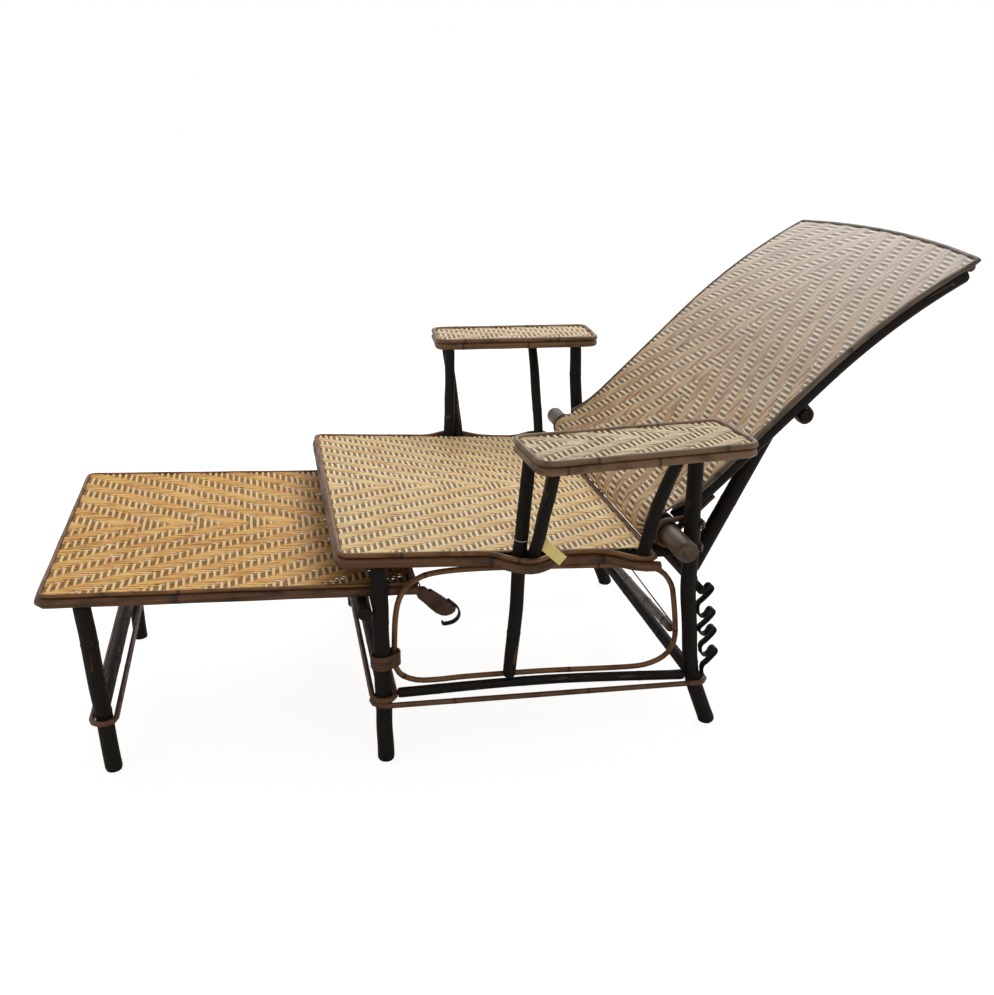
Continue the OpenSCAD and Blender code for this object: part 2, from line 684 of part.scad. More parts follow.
module crest_bar() {
    off = back_top_off - back_mat_t - gap - border_d / 2;
    half = back_mat_w / 2 - border_d / 2;
    color(BARK) placed()
        tube_on([for (i = [-8 : 8]) let (y = i / 8 * half)
                    [each back_xyz(crest_s(y) - 5, y, off), border_d]], CANE_SIDES);
}

// Edge cane up one side, over the crest and down the other
edge_cane_y = back_mat_w / 2 + edge_d / 2 + gap;
edge_cane_off = back_top_off - edge_d / 2;
function edge_side() = concat(
    [for (s = [30, 50, 75, 105, 160, 240]) [s, s < 100 ? edge_cane_off + pow((100 - s) / 70, 2) * 13 : edge_cane_off]],
    [for (i = [0 : 7]) [back_straight + i / 7 * (back_len - 22 - back_straight), edge_cane_off]]);
module back_edge_cane() {
    side = edge_side();
    n = len(side);
    corner = [[back_len - 2, edge_cane_y], [back_len + 3.6, edge_cane_y - 0.8], [back_len + 6, edge_cane_y - 7]];
    over = [for (i = [-6 : 6]) let (y = i / 6 * (edge_cane_y - 20)) [crest_s(y) + edge_d / 2 + 2 * gap, y]];
    path = concat(
        [for (p = side) back_xyz(p.x, -edge_cane_y, p.y)],
        [for (p = corner) back_xyz(p.x, -p.y, edge_cane_off)],
        [for (p = over) back_xyz(p.x, p.y, edge_cane_off)],
        [for (i = [2, 1, 0]) back_xyz(corner[i].x, corner[i].y, edge_cane_off)],
        [for (i = [n - 1 : -1 : 0]) back_xyz(side[i].x, edge_cane_y, side[i].y)]);
    color(CANE) placed() tube_on([for (p = path) [each p, edge_d]], CANE_SIDES, up = [0.3, 0, 1]);
}

// Cane strap bent round the hinge pole, which carries the back
strap_w = 13;
strap_t = 4.5;
module hinge_strap(side) {
    r = hinge_r + gap;
    color(CANE) placed() sided(side)
        translate([hinge_x, back_rail_y + strap_w / 2, hinge_z]) rotate([90, 0, 0])
            linear_extrude(strap_w) rotate([0, 0, back_angle]) difference() {
                union() {
                    circle(r + strap_t);
                    translate([-1, rail_off - back_rail_d / 2 - gap - strap_t]) square([92, strap_t]);
                    translate([-1, rail_off - back_rail_d / 2 - gap - strap_t])
                        square([1 + sqrt(pow(r + strap_t, 2) - 120), 10]);
                }
                circle(r);
            }
}

// Prop: a rod under the rails, two legs tied in front of it, and a foot bar in the rack

rod = back_xz(prop_rod_s, rod_off);
pocket = rack_point(pocket_out, 0);
leg_off = (prop_rod_d + prop_leg_d) / 2 + gap;
reach = norm(pocket - rod);
prop_dir = atan2(pocket.y - rod.y, pocket.x - rod.x) + asin(leg_off / reach);
prop_len = sqrt(reach * reach - leg_off * leg_off);
module prop_frame() {
    placed() translate([rod.x, 0, rod.y]) rotate([0, -prop_dir, 0]) children();
}

module prop_rod() {
    color(BARK) prop_frame() cross_pole(0, 0, back_mat_w / 2 - 5, prop_rod_d);
}

module prop_leg(side) {
    top = -3;
    color(BARK) prop_frame()
        pole([top, side * prop_half, -leg_off], [prop_len - foot_bar_d / 2 - gap, side * prop_half, -leg_off],
             prop_leg_d - 1, prop_leg_d + 1);
}

module prop_foot_bar() {
    bar_half = prop_half + prop_leg_d / 2 + 6;
    pin_in = 16;
    color(BARK) prop_frame() {
        difference() {
            cross_pole(prop_len, -leg_off, bar_half, foot_bar_d);
            for (side = [NEAR, FAR]) foot_pin(side, bar_half - pin_in, bar_half + 1, foot_pin_d + 2 * gap);
        }
        for (side = [NEAR, FAR]) foot_pin(side, bar_half - pin_in + gap, rack_y + rack_w / 2 - 2, foot_pin_d);
    }
}

// Round peg let into an end of the foot bar
module foot_pin(side, from, to, d) {
    translate([prop_len, side * (from + to) / 2, -leg_off]) rotate([90, 0, 0])
        cylinder(h = to - from, d = d, center = true);
}

// Cane rings round the rod on both sides of a leg, and round the leg under the rod
module prop_binding(side) {
    t = 1.6;
    w = 3;
    leg_r1 = (prop_leg_d - 0.6) / 2;
    y = side * prop_half;
    color(CANE) prop_frame() {
        for (k = [-1, 1]) translate([0, y + k * (prop_leg_d / 2 + 3) + w / 2, 0]) rotate([90, 0, 0])
            ring(prop_rod_d / 2 + gap, t, w);
        for (x = [prop_rod_d / 2 + 4, prop_rod_d / 2 + 9]) translate([x, y, -leg_off]) rotate([0, 90, 0])
            ring(leg_r1 + gap, t, w);
    }
}

module ring(r, t, w) {
    linear_extrude(w) difference() {
        circle(r + t);
        circle(r);
    }
}

// Straps under the rails, in which the prop rod turns
module rod_strap(side) {
    r = prop_rod_d / 2 + gap;
    up = rail_off - rod_off;
    color(CANE) placed() sided(side)
        difference() {
            translate([hinge_x, back_rail_y + 5, hinge_z]) rotate([90, 0, 0]) linear_extrude(10)
                rotate([0, 0, back_angle]) translate([prop_rod_s, rod_off]) difference() {
                    union() {
                        circle(r + 3);
                        translate([-r - 3, 0]) square([2 * r + 6, up - 6]);
                    }
                    circle(r);
                    translate([-r, 0]) square([2 * r, up]);
                }
            pole(back_xyz(prop_rod_s - 60, back_rail_y, rail_off), back_xyz(prop_rod_s + 40, back_rail_y, rail_off),
                 back_rail_d + 2 * gap);
        }
}

// Footrest

footrest_half = footrest_w / 2;
module footrest_placed(drop) {
    placed() translate([-footrest_reach, 0, footrest_h - drop]) rotate([0, footrest_fall, 0]) children();
}

module footrest_mat() {
    inset = footrest_border_d / 2 + footrest_edge_d / 2 + 2 * gap;
    color(STRAW) footrest_placed(footrest_edge_d - gap) translate([inset, 0, 0])
        linear_extrude(footrest_edge_d - 1) round_rect(footrest_len - 2 * inset, footrest_w - 2 * inset, 18);
}

module footrest_border_canes() {
    l = footrest_len - footrest_border_d;
    w = footrest_w - footrest_border_d;
    color(CANE) {
        footrest_placed(footrest_edge_d + footrest_border_d / 2 + gap) translate([footrest_border_d / 2, 0, 0])
            tube_on(concat([[l + 4, w / 2, 0, footrest_border_d]], front_bend(l, w, 20, footrest_border_d),
                           [[l + 4, -w / 2, 0, footrest_border_d]]), CANE_SIDES);
        footrest_placed(footrest_edge_d / 2) translate([footrest_border_d / 2, 0, 0])
            cane_rect(l, w, 20, footrest_edge_d);
    }
}

footrest_bar_y = footrest_half - footrest_border_d - footrest_bar_d / 2 - 1;
footrest_bar_drop = footrest_edge_d + footrest_bar_d / 2;
module footrest_side_bars() {
    color(BARK) footrest_placed(footrest_bar_drop) for (side = [NEAR, FAR])
        translate([footrest_border_d + 12, side * footrest_bar_y, 0]) rotate([0, 90, 0])
            cylinder(h = catch_pin_x - footrest_bar_d / 2 - ring_t - 1 - footrest_border_d - 12, d = footrest_bar_d);
}

// The rear bar carries the catches
catch_pin_x = footrest_len - footrest_bar_d / 2;
catch_pin_drop = footrest_bar_drop + 3;
module footrest_rear_bar() {
    color(BARK) footrest_placed(catch_pin_drop) translate([catch_pin_x, 0, 0])
        cross_pole(0, 0, footrest_half - footrest_border_d - gap, footrest_bar_d);
}

module footrest_cross_bars() {
    first = footrest_border_d + 20;
    last = footrest_len - 140;
    d = footrest_bar_d - 4;
    color(BARK) footrest_placed(footrest_edge_d + d / 2) for (i = [0 : 3])
        cross_pole(first + i / 3 * (last - first), 0, footrest_bar_y - footrest_bar_d / 2 - gap, d);
}

footrest_leg_x = footrest_leg_in - footrest_reach;
footrest_leg_top = footrest_z(footrest_leg_x) - footrest_edge_d - footrest_bar_d - 3 * gap;
function footrest_leg_at(z) = [
    footrest_leg_x - 8 * z / footrest_leg_top,
    footrest_foot_half + (footrest_bar_y + 1 - footrest_foot_half) * z / footrest_leg_top, z,
];
function footrest_leg_knots() =
    [for (k = [[0, leg_d + 1], [60, leg_d], [180, leg_d], [footrest_leg_top, leg_d]])
        [each footrest_leg_at(k[0]), k[1]]];
module footrest_leg(side) {
    color(BARK) placed() sided(side) stick(footrest_leg_knots());
}

module footrest_stretcher() {
    p = footrest_leg_at(footrest_stretcher_z);
    color(BARK) placed() cross_pole(p.x, p.z, p.y - leg_r * stick_flat - 4 * gap, stretcher_d);
}

module footrest_wrap_cane() {
    p = footrest_leg_at(footrest_stretcher_z - stretcher_d / 2 - wrap_d / 2 - 1);
    color(CANE) placed() wrap_cane([p.x, -p.y, p.z], [p.x, p.y, p.z], leg_d + 2 * wrap_gap, wrap_d);
}

// Catch: a wooden tab lashed to the rear bar, with an iron hook nailed on it

catch_y = footrest_half - footrest_border_d - catch_t;
ring_t = 2;
module catch_frame(side) {
    footrest_placed(catch_pin_drop)
        translate([catch_pin_x, side * catch_y, 0]) rotate([0, catch_hang - footrest_fall, 0]) children();
}

module catch_tab(side) {
    r = footrest_bar_d / 2 + gap;
    color(BARK) catch_frame(side) translate([0, catch_t / 2, 0]) rotate([90, 0, 0])
        linear_extrude(catch_t) difference() {
            union() {
                circle(r + ring_t);
                translate([0, -r - ring_t]) square([r + ring_t + 4, 2 * (r + ring_t)]);
                translate([r + ring_t, -catch_h / 2]) square([catch_len, catch_h]);
            }
            circle(r);
        }
}

module catch_hook(side) {
    top = catch_h / 2 + gap + iron_t / 2;
    from = footrest_bar_d / 2 + 10;
    tip = footrest_bar_d / 2 + catch_len + 6;
    path = [
        [from, top], [tip - 4, top], [tip + 3, top - 2], [tip + 9, top - 7], [tip + 11, top - 14],
        [tip + 9, top - 22], [tip + 3, top - 29], [tip - 4, top - 33],
    ];
    color(IRON) catch_frame(side) translate([0, catch_t / 2 - 0.5, 0]) rotate([90, 0, 0])
        linear_extrude(catch_t - 1) strip(path, iron_t);
}

// Blank paper tag tied round the near middle post with a thin wire
module tag() {
    x = strut_x + (post_d - 2) / 2 + 1.1;
    color(PAPER) placed() translate([x, -seat_half - 19, seat_z(x) + 22]) rotate([0, 42, 0])
        translate([0, -8, 0]) cube([44, 16, 0.8]);
}

module tag_wire() {
    color(IRON) placed() translate([post_x + 1.5, -seat_half - 2, seat_z(post_x) + 24])
        rotate_extrude() translate([post_r + 1.8, 0]) circle(d = 1.2);
}

seat_mat();
seat_edge_cane();
seat_border_cane();
seat_side_bars();
seat_cross_bars();
seat_rear_rail();
front_leg(NEAR);  // front_leg_left
front_leg(FAR);  // front_leg_right
rear_leg(NEAR);  // rear_leg_left
rear_leg(FAR);  // rear_leg_right
front_stretcher();
rear_stretcher();
side_stretcher(NEAR);  // side_stretcher_left
side_stretcher(FAR);  // side_stretcher_right
front_wrap_cane();
for (side = [NEAR, FAR]) side_wrap_cane(side);  // side_wrap_canes
side_loop(NEAR);  // side_loop_left
side_loop(FAR);  // side_loop_right
for (side = [NEAR, FAR]) leg_band(side);  // leg_bands
arm_post(NEAR);  // arm_post_left
arm_post(FAR);  // arm_post_right
for (side = [NEAR, FAR]) front_strut(side);  // front_struts
for (side = [NEAR, FAR]) rear_strut(side);  // rear_struts
arm_mat(NEAR);  // arm_mat_left
arm_mat(FAR);  // arm_mat_right
arm_border_canes(NEAR);  // arm_border_left
arm_border_canes(FAR);  // arm_border_right
for (side = [NEAR, FAR]) arm_cross_bars(side);
hinge_pole();
for (side = [NEAR, FAR]) hinge_lashing(side);  // hinge_lashings
rear_pole();
rear_thin_cane();
bearer();  // footrest_bearer
iron_rack(NEAR);  // iron_rack_left
iron_rack(FAR);  // iron_rack_right
tag();
tag_wire();
back_mat();
back_rail(NEAR);  // back_rail_left
back_rail(FAR);  // back_rail_right
back_cross_bars();
crest_bar();
back_edge_cane();
for (side = [NEAR, FAR]) hinge_strap(side);  // hinge_straps
for (side = [NEAR, FAR]) rod_strap(side);  // rod_straps
prop_rod();
for (side = [NEAR, FAR]) prop_leg(side);  // prop_legs
prop_foot_bar();
for (side = [NEAR, FAR]) prop_binding(side);  // prop_bindings
footrest_mat();
footrest_border_canes();
union() {  // footrest_bars
    footrest_side_bars();
    footrest_rear_bar();
    footrest_cross_bars();
}
footrest_leg(NEAR);  // footrest_leg_left
footrest_leg(FAR);  // footrest_leg_right
footrest_stretcher();
footrest_wrap_cane();
catch_tab(NEAR);  // catch_left
catch_tab(FAR);  // catch_right
catch_hook(NEAR);  // catch_hook_left
catch_hook(FAR);  // catch_hook_right
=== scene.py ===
"""Looks of a reclining rattan long chair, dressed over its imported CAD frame."""

import logging
import math
from collections.abc import Iterable
from dataclasses import dataclass, field
from enum import Enum

import bpy
import numpy as np
from mathutils import Matrix, Vector


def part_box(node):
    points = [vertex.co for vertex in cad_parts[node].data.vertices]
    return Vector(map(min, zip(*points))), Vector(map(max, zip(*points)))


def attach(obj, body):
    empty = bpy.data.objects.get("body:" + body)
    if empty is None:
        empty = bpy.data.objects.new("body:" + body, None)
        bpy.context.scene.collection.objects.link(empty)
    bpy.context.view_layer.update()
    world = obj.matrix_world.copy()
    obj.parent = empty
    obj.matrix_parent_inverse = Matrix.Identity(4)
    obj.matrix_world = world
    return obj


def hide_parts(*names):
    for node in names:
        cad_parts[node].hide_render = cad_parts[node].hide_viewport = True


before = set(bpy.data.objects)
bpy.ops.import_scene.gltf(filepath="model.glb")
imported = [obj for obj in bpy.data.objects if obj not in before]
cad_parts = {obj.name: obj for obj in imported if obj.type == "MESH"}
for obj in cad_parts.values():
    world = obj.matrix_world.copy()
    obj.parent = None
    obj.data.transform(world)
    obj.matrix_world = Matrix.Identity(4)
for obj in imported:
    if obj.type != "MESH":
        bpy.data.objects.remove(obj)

log = logging.getLogger("rattan_chair")

MM = 0.001
LEFT = -1
RIGHT = 1
# The hinge pole's middle, x and z in mm from the seat's front edge and the floor
HINGE = (510.0, 355.0)
SEAT_HEIGHT = 366.0
SEAT_FALL = math.radians(3.7)
FOOT_HEIGHT = 325.0
FOOT_REACH = 417.0
FOOT_FALL = math.radians(3.1)
# A rear leg's middle beside the hinge pole, x and y in mm
REAR_LEG = (540.8, 308.0)
# Size of the table of chances that makes the strands uneven
CHANCES = 4096
# Greatest distance between double vertices, in metres
DOUBLES = 1e-5
# A stick's rings in mm, about the middle of a joint and near an end
JOINT_RINGS = (-6.5, -3.0, -1.0, 1.0, 3.0, 6.5)
END_RINGS = (0.0, 1.6, 4.5)
Knot = tuple[float, float, float, float]
Socket = bpy.types.NodeSocket


def seat_front_x() -> float:
    """Finds where the seat's front edge lies in the shared frame.

    Returns:
        Its distance from the origin along X, in millimetres.
    """
    low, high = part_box("hinge_pole")
    return 500.0 * (low[0] + high[0]) - HINGE[0]


FRONT_X = seat_front_x()
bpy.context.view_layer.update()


def seat_z(x: float) -> float:
    """Height of the seat's top at a distance behind its front edge, in mm."""
    return SEAT_HEIGHT - x * math.tan(SEAT_FALL)


def footrest_z(x: float) -> float:
    """Height of the footrest's top at a place along X, in mm."""
    return FOOT_HEIGHT - (x + FOOT_REACH) * math.tan(FOOT_FALL)


def to_frame(points: np.ndarray) -> np.ndarray:
    """Moves points from the seat's front edge to the shared frame.

    Args:
        points: Rows of x, y, z in millimetres.

    Returns:
        The same rows in metres, in the shared frame.
    """
    moved = np.array(points, dtype=float)
    moved[:, 0] += FRONT_X
    return moved * MM


def mirrored(knots: list[Knot], side: int) -> list[Knot]:
    """Gives the knots, drawn for the right side, on one side of the chair."""
    return [(x, side * y, z, d) for x, y, z, d in knots]


def knots_of(rows: Iterable, d: float) -> list[Knot]:
    """Gives rows of x, y, z as knots of one diameter."""
    return [(*(float(v) for v in row), d) for row in rows]


def bar_knots(x: float, half: float, z: float, d: float) -> list[Knot]:
    """Gives the knots of a straight bar that lies across the chair."""
    return [(x, -half, z, d), (x, half, z, d)]


def wrap_knots(
    a: tuple[float, float, float], b: tuple[float, float, float], stick: float, d: float
) -> list[Knot]:
    """Plans a cane that runs on both sides of two uprights and turns round them.

    Args:
        a: Centre of the first upright.
        b: Centre of the second upright.
        stick: Diameter of the uprights.
        d: Diameter of the cane.

    Returns:
        The knots of the closed cane.
    """
    r = (stick + d) / 2 + 0.3
    start, end = np.array(a), np.array(b)
    run = (end - start) / np.linalg.norm(end - start)
    across = np.cross((0.0, 0.0, 1.0), run)
    across /= np.linalg.norm(across)
    rows = []
    for centre, turn in ((end, -90.0), (start, 90.0)):
        for step in range(0, 181, 18):
            t = math.radians(turn + step)
            rows.append(centre + r * (math.cos(t) * run + math.sin(t) * across))
    return knots_of(rows, d)


def side_name(side: int) -> str:
    """Name of a side of the chair."""
    return "left" if side == LEFT else "right"


def arc(x: float, y: float, r: float, angles: Iterable[float]) -> list[tuple[float, float]]:
    """Gives the points of an arc about a centre, at angles in degrees."""
    return [(x + r * math.cos(math.radians(a)), y + r * math.sin(math.radians(a))) for a in angles]


def rounded_outline(
    low: float, high: float, half: float, r: float
) -> list[tuple[float, float]]:
    """Draws the outline of a panel with round corners, seven points to a corner.

    Args:
        low: Its front end in mm.
        high: Its rear end in mm.
        half: Half its width in mm.
        r: Radius of its corners in mm.

    Returns:
        Rows of x and y, from the rear right corner round by the front.
    """
    corners = (
        (high - r, half - r, 0), (low + r, half - r, 90),
        (low + r, r - half, 180), (high - r, r - half, 270),
    )
    return [p for x, y, a in corners for p in arc(x, y, r, range(a, a + 91, 15))]


# Materials


def linear(colour: str) -> tuple[float, float, float, float]:
    """Turns a colour as written to the one that Blender works in.

    Args:
        colour: An sRGB hex value such as #d2ab6a.

    Returns:
        Linear red, green, blue and a full alpha.
    """
    parts = [int(colour[i : i + 2], 16) / 255.0 for i in (1, 3, 5)]
    red, green, blue = (
        c / 12.92 if c <= 0.04045 else ((c + 0.055) / 1.055) ** 2.4 for c in parts
    )
    return red, green, blue, 1.0


def feed(tree: bpy.types.NodeTree, node: bpy.types.Node, inputs: dict) -> None:
    """Links or sets inputs of a node.

    Args:
        tree: The node tree of the material or world.
        node: The node.
        inputs: Sockets or values for its inputs, by name or number.
    """
    for name, value in inputs.items():
        if isinstance(value, Socket):
            tree.links.new(value, node.inputs[name])
        else:
            node.inputs[name].default_value = value


def add_node(
    tree: bpy.types.NodeTree, kind: str, inputs: dict | None = None, **settings: object
) -> bpy.types.Node:
    """Adds a node with its settings, values and links.

    Args:
        tree: The node tree of the material or world.
        kind: The node's type.
        inputs: Values or sockets for its inputs, by name or number.
        **settings: Properties of the node.

    Returns:
        The node.
    """
    node = tree.nodes.new(kind)
    for name, value in settings.items():
        setattr(node, name, value)
    feed(tree, node, inputs or {})
    return node


def stained(
    tree: bpy.types.NodeTree, colour: Socket | str, stain: Socket | str, mask: Socket,
    start: float, full: float, most: float = 1.0, how: str = "MIX",
) -> Socket:
    """Stains a colour where a mask rises.

    Args:
        tree: The node tree.
        colour: The colour below, a socket or an sRGB hex value.
        stain: The colour that lies over it, a socket or an sRGB hex value.
        mask: The value that tells where the stain lies.
        start: Value of the mask at which the stain begins.
        full: Value of the mask at which it is strongest.
        most: Share of the stain where it is strongest.
        how: Blend mode.

    Returns:
        The stained colour.
    """
    share = add_node(tree, "ShaderNodeMapRange", {0: mask, 1: start, 2: full, 3: 0.0, 4: most})
    below, above = (linear(c) if isinstance(c, str) else c for c in (colour, stain))
    inputs = {0: share.outputs[0], 6: below, 7: above}
    return add_node(tree, "ShaderNodeMix", inputs, data_type="RGBA", blend_type=how).outputs[2]


def spotted(
    tree: bpy.types.NodeTree, place: Socket, scale: tuple[float, float, float], detail: float
) -> Socket:
    """Scatters soft spots that have their own size along each axis.

    Args:
        tree: The node tree.
        place: Coordinates in metres.
        scale: Spots per metre along each axis.
        detail: Octaves of finer spots.

    Returns:
        The spots' strength, from 0 to 1.
    """
    stretched = add_node(tree, "ShaderNodeVectorMath", {0: place, 1: scale}, operation="MULTIPLY")
    inputs = {"Vector": stretched.outputs[0], "Scale": 1.0, "Detail": detail}
    return add_node(tree, "ShaderNodeTexNoise", inputs).outputs[0]


def new_material(name: str) -> tuple[bpy.types.Material, bpy.types.NodeTree, bpy.types.Node]:
    """Makes an empty material with its main shader.

    Args:
        name: The material's name.

    Returns:
        The material, its node tree and its Principled shader.
    """
    material = bpy.data.materials.new(name)
    material.use_nodes = True
    tree = material.node_tree
    tree.nodes.clear()
    shader = add_node(tree, "ShaderNodeBsdfPrincipled")
    add_node(tree, "ShaderNodeOutputMaterial", {0: shader.outputs[0]})
    return material, tree, shader


@dataclass(frozen=True)
class WovenCane:
    """Split rattan cane, woven in a herringbone: satin strands, with painted shade in the gaps and
    grooves between them.
    """

    name: str
    pale: str
    mid: str
    deep: str
    # The gap colour is painted shade, where a strand lies sunk under those it crosses
    gap: str = "#3d2817"
    # The weft colour is a painted highlight: the raised weft stitches are paler than the warps
    weft_highlight: str = "#ecd6a4"
    # The groove colour is painted shade, laid in the grooves between neighbouring strands
    groove_shade: str = "#5a3c20"
    # The next five fields lay painted light along the panel's x: a painted shadow on the footrest
    # and a painted pale haze on the back
    painted_light_from: float = 0.0
    painted_light_to: float = 0.0
    far: str = "#6e4a28"
    painted_light_share: float = 0.75
    painted_light_mix: str = "MULTIPLY"
    specular: float = 0.22

    def build(self) -> bpy.types.Material:
        """Builds the material from the strands' own flat coordinates.

        Returns:
            The material.
        """
        material, tree, shader = new_material(self.name)
        flat = add_node(tree, "ShaderNodeAttribute", attribute_name="flat").outputs["Vector"]
        weft, edge, sunk_shade = (
            add_node(tree, "ShaderNodeAttribute", attribute_name=name).outputs["Fac"]
            for name in ("weft", "edge", "sunk_shade")
        )
        island = add_node(tree, "ShaderNodeNewGeometry").outputs["Random Per Island"]
        # Fibres 20 mm long along each strand, drawn 1.5 mm wide so that they show; and
        # each float, 40 mm by 5 mm, is more golden or more ashen than the next
        grains = []
        for warps, wefts, detail in (
            ((50.0, 650.0, 200.0), (650.0, 50.0, 200.0), 4.0),
            ((26.0, 190.0, 10.0), (110.0, 40.0, 10.0), 1.0),
        ):
            one, other = spotted(tree, flat, warps, detail), spotted(tree, flat, wefts, detail)
            inputs = {0: weft, 2: one, 3: other}
            grains.append(add_node(tree, "ShaderNodeMix", inputs, data_type="FLOAT").outputs[0])
        fibre, floats = grains
        shares = []
        for value, low, high, most in (
            (island, 0.0, 1.0, 0.42), (floats, 0.32, 0.68, 0.36), (fibre, 0.3, 0.7, 0.42),
        ):
            inputs = {0: value, 1: low, 2: high, 3: 0.0, 4: most}
            shares.append(add_node(tree, "ShaderNodeMapRange", inputs).outputs[0])
        tone = shares[0]
        for share in shares[1:]:
            inputs = {0: tone, 1: share}
            tone = add_node(tree, "ShaderNodeMath", inputs, operation="ADD").outputs[0]
        warp = add_node(tree, "ShaderNodeValToRGB", {0: tone})
        stops = warp.color_ramp.elements
        stops[0].position, stops[1].position = 0.12, 1.0
        stops[0].color, stops[1].color = linear(self.deep), linear(self.pale)
        for place, colour in ((0.45, self.mid), (0.8, self.pale)):
            stops.new(place).color = linear(colour)
        # Painted highlight: the weft stitches take a paler colour than the warps
        stitch = stained(tree, self.pale, self.weft_highlight, tone, 0.15, 0.75)
        inputs = {0: weft, 6: warp.outputs[0], 7: stitch}
        colour = add_node(tree, "ShaderNodeMix", inputs, data_type="RGBA").outputs[2]
        # Patches of 60 mm where the varnish is more worn or darker
        patch = spotted(tree, flat, (14.0, 18.0, 10.0), 3.0)
        colour = stained(tree, colour, self.mid, patch, 0.45, 0.7, 0.32, "MULTIPLY")
        # Painted shade in the grooves where neighbouring strands meet
        colour = stained(tree, colour, self.groove_shade, edge, 0.42, 0.95, 0.85)
        # Painted shade where a strand lies sunk under the strands it crosses
        colour = stained(tree, colour, self.gap, sunk_shade, 0.2, 0.85, 0.72)
        # Painted light along x: a painted shadow where the footrest slides under the seat, and a
        # painted pale haze towards the back's crest
        if self.painted_light_to > self.painted_light_from:
            x = add_node(tree, "ShaderNodeSeparateXYZ", {0: flat}).outputs[0]
            start, full = self.painted_light_from * MM, self.painted_light_to * MM
            colour = stained(tree, colour, self.far, x, start, full, self.painted_light_share, self.painted_light_mix)
        rough = add_node(tree, "ShaderNodeMapRange", {0: fibre, 1: 0.2, 2: 0.8, 3: 0.42, 4: 0.64})
        skin = {"Strength": 0.4, "Distance": 0.0004, "Height": fibre}
        bump = add_node(tree, "ShaderNodeBump", skin)
        feed(tree, shader, {
            "Base Color": colour, "Roughness": rough.outputs[0], "Normal": bump.outputs[0],
            "Specular IOR Level": self.specular,
        })
        return material


@dataclass(frozen=True)
class BarkStick:
    """Rattan pole with its bark on, nearly black with painted shade over its own dark brown, and
    worn brown on the ridges.
    """

    name: str = "dark_bark_rattan_painted_shade"
    # Dark and brown: the bark's own colour, darkened further with painted shade
    dark: str = "#0e0b08"
    brown: str = "#1d150e"
    worn: str = "#5c4630"
    worn_share: float = 0.07
    specular: float = 0.16

    def build(self) -> bpy.types.Material:
        """Builds the material from the stick's own grain coordinates.

        Returns:
            The material.
        """
        material, tree, shader = new_material(self.name)
        grain = add_node(tree, "ShaderNodeAttribute", attribute_name="grain").outputs["Vector"]
        ring = add_node(tree, "ShaderNodeAttribute", attribute_name="ring").outputs["Fac"]
        # Long streaks, 2 mm wide, patches where the bark is rubbed off, and a fine grain of 1 mm
        streak, patch, fine = (
            spotted(tree, grain, scale, 4.0)
            for scale in ((12.0, 420.0, 420.0), (16.0, 70.0, 70.0), (90.0, 900.0, 900.0))
        )
        rubbed = 0.72 - self.worn_share
        # The dark and brown colours are the bark's own dark brown with painted shade in them
        colour = stained(tree, self.dark, self.brown, streak, 0.35, 0.7)
        colour = stained(tree, colour, self.worn, patch, rubbed, rubbed + 0.05, 0.85)
        colour = stained(tree, colour, self.dark, ring, 0.2, 0.9, 0.7)
        rough = add_node(tree, "ShaderNodeMapRange", {0: streak, 1: 0.3, 2: 0.7, 3: 0.5, 4: 0.72})
        height = add_node(tree, "ShaderNodeMath", {0: fine, 1: patch}, operation="ADD").outputs[0]
        skin = {"Strength": 0.6, "Distance": 0.0006, "Height": height}
        bump = add_node(tree, "ShaderNodeBump", skin)
        feed(tree, shader, {
            "Base Color": colour, "Roughness": rough.outputs[0], "Normal": bump.outputs[0],
            "Specular IOR Level": self.specular,
        })
        return material


@dataclass(frozen=True)
class PeeledCane:
    """Round peeled cane under old varnish: brown, streaked, darker at the joints."""

    name: str = "varnished_peeled_cane"
    pale: str = "#7a5230"
    brown: str = "#4a2f1c"
    dark: str = "#21150d"
    own_grain: bool = True
    specular: float = 0.3

    def build(self) -> bpy.types.Material:
        """Builds the material from the cane's grain, or from the object's coordinates.

        Returns:
            The material.
        """
        material, tree, shader = new_material(self.name)
        # Streaks 2 mm wide along the cane, and mottles of 17 to 40 mm
        if self.own_grain:
            grain = add_node(tree, "ShaderNodeAttribute", attribute_name="grain").outputs["Vector"]
            streak = spotted(tree, grain, (9.0, 500.0, 500.0), 4.0)
        else:
            grain = add_node(tree, "ShaderNodeTexCoord").outputs["Object"]
            streak = spotted(tree, grain, (60.0, 420.0, 60.0), 4.0)
        mottle = spotted(tree, grain, (26.0, 60.0, 60.0), 5.0)
        colour = stained(tree, self.brown, self.pale, streak, 0.3, 0.75)
        colour = stained(tree, colour, self.dark, mottle, 0.48, 0.72, 0.8)
        if self.own_grain:
            ring = add_node(tree, "ShaderNodeAttribute", attribute_name="ring").outputs["Fac"]
            colour = stained(tree, colour, self.dark, ring, 0.15, 0.8, 0.85)
        rough = add_node(tree, "ShaderNodeMapRange", {0: mottle, 1: 0.3, 2: 0.7, 3: 0.34, 4: 0.55})
        skin = {"Strength": 0.4, "Distance": 0.0004, "Height": streak}
        bump = add_node(tree, "ShaderNodeBump", skin)
        feed(tree, shader, {
            "Base Color": colour, "Roughness": rough.outputs[0], "Normal": bump.outputs[0],
            "Specular IOR Level": self.specular,
        })
        return material


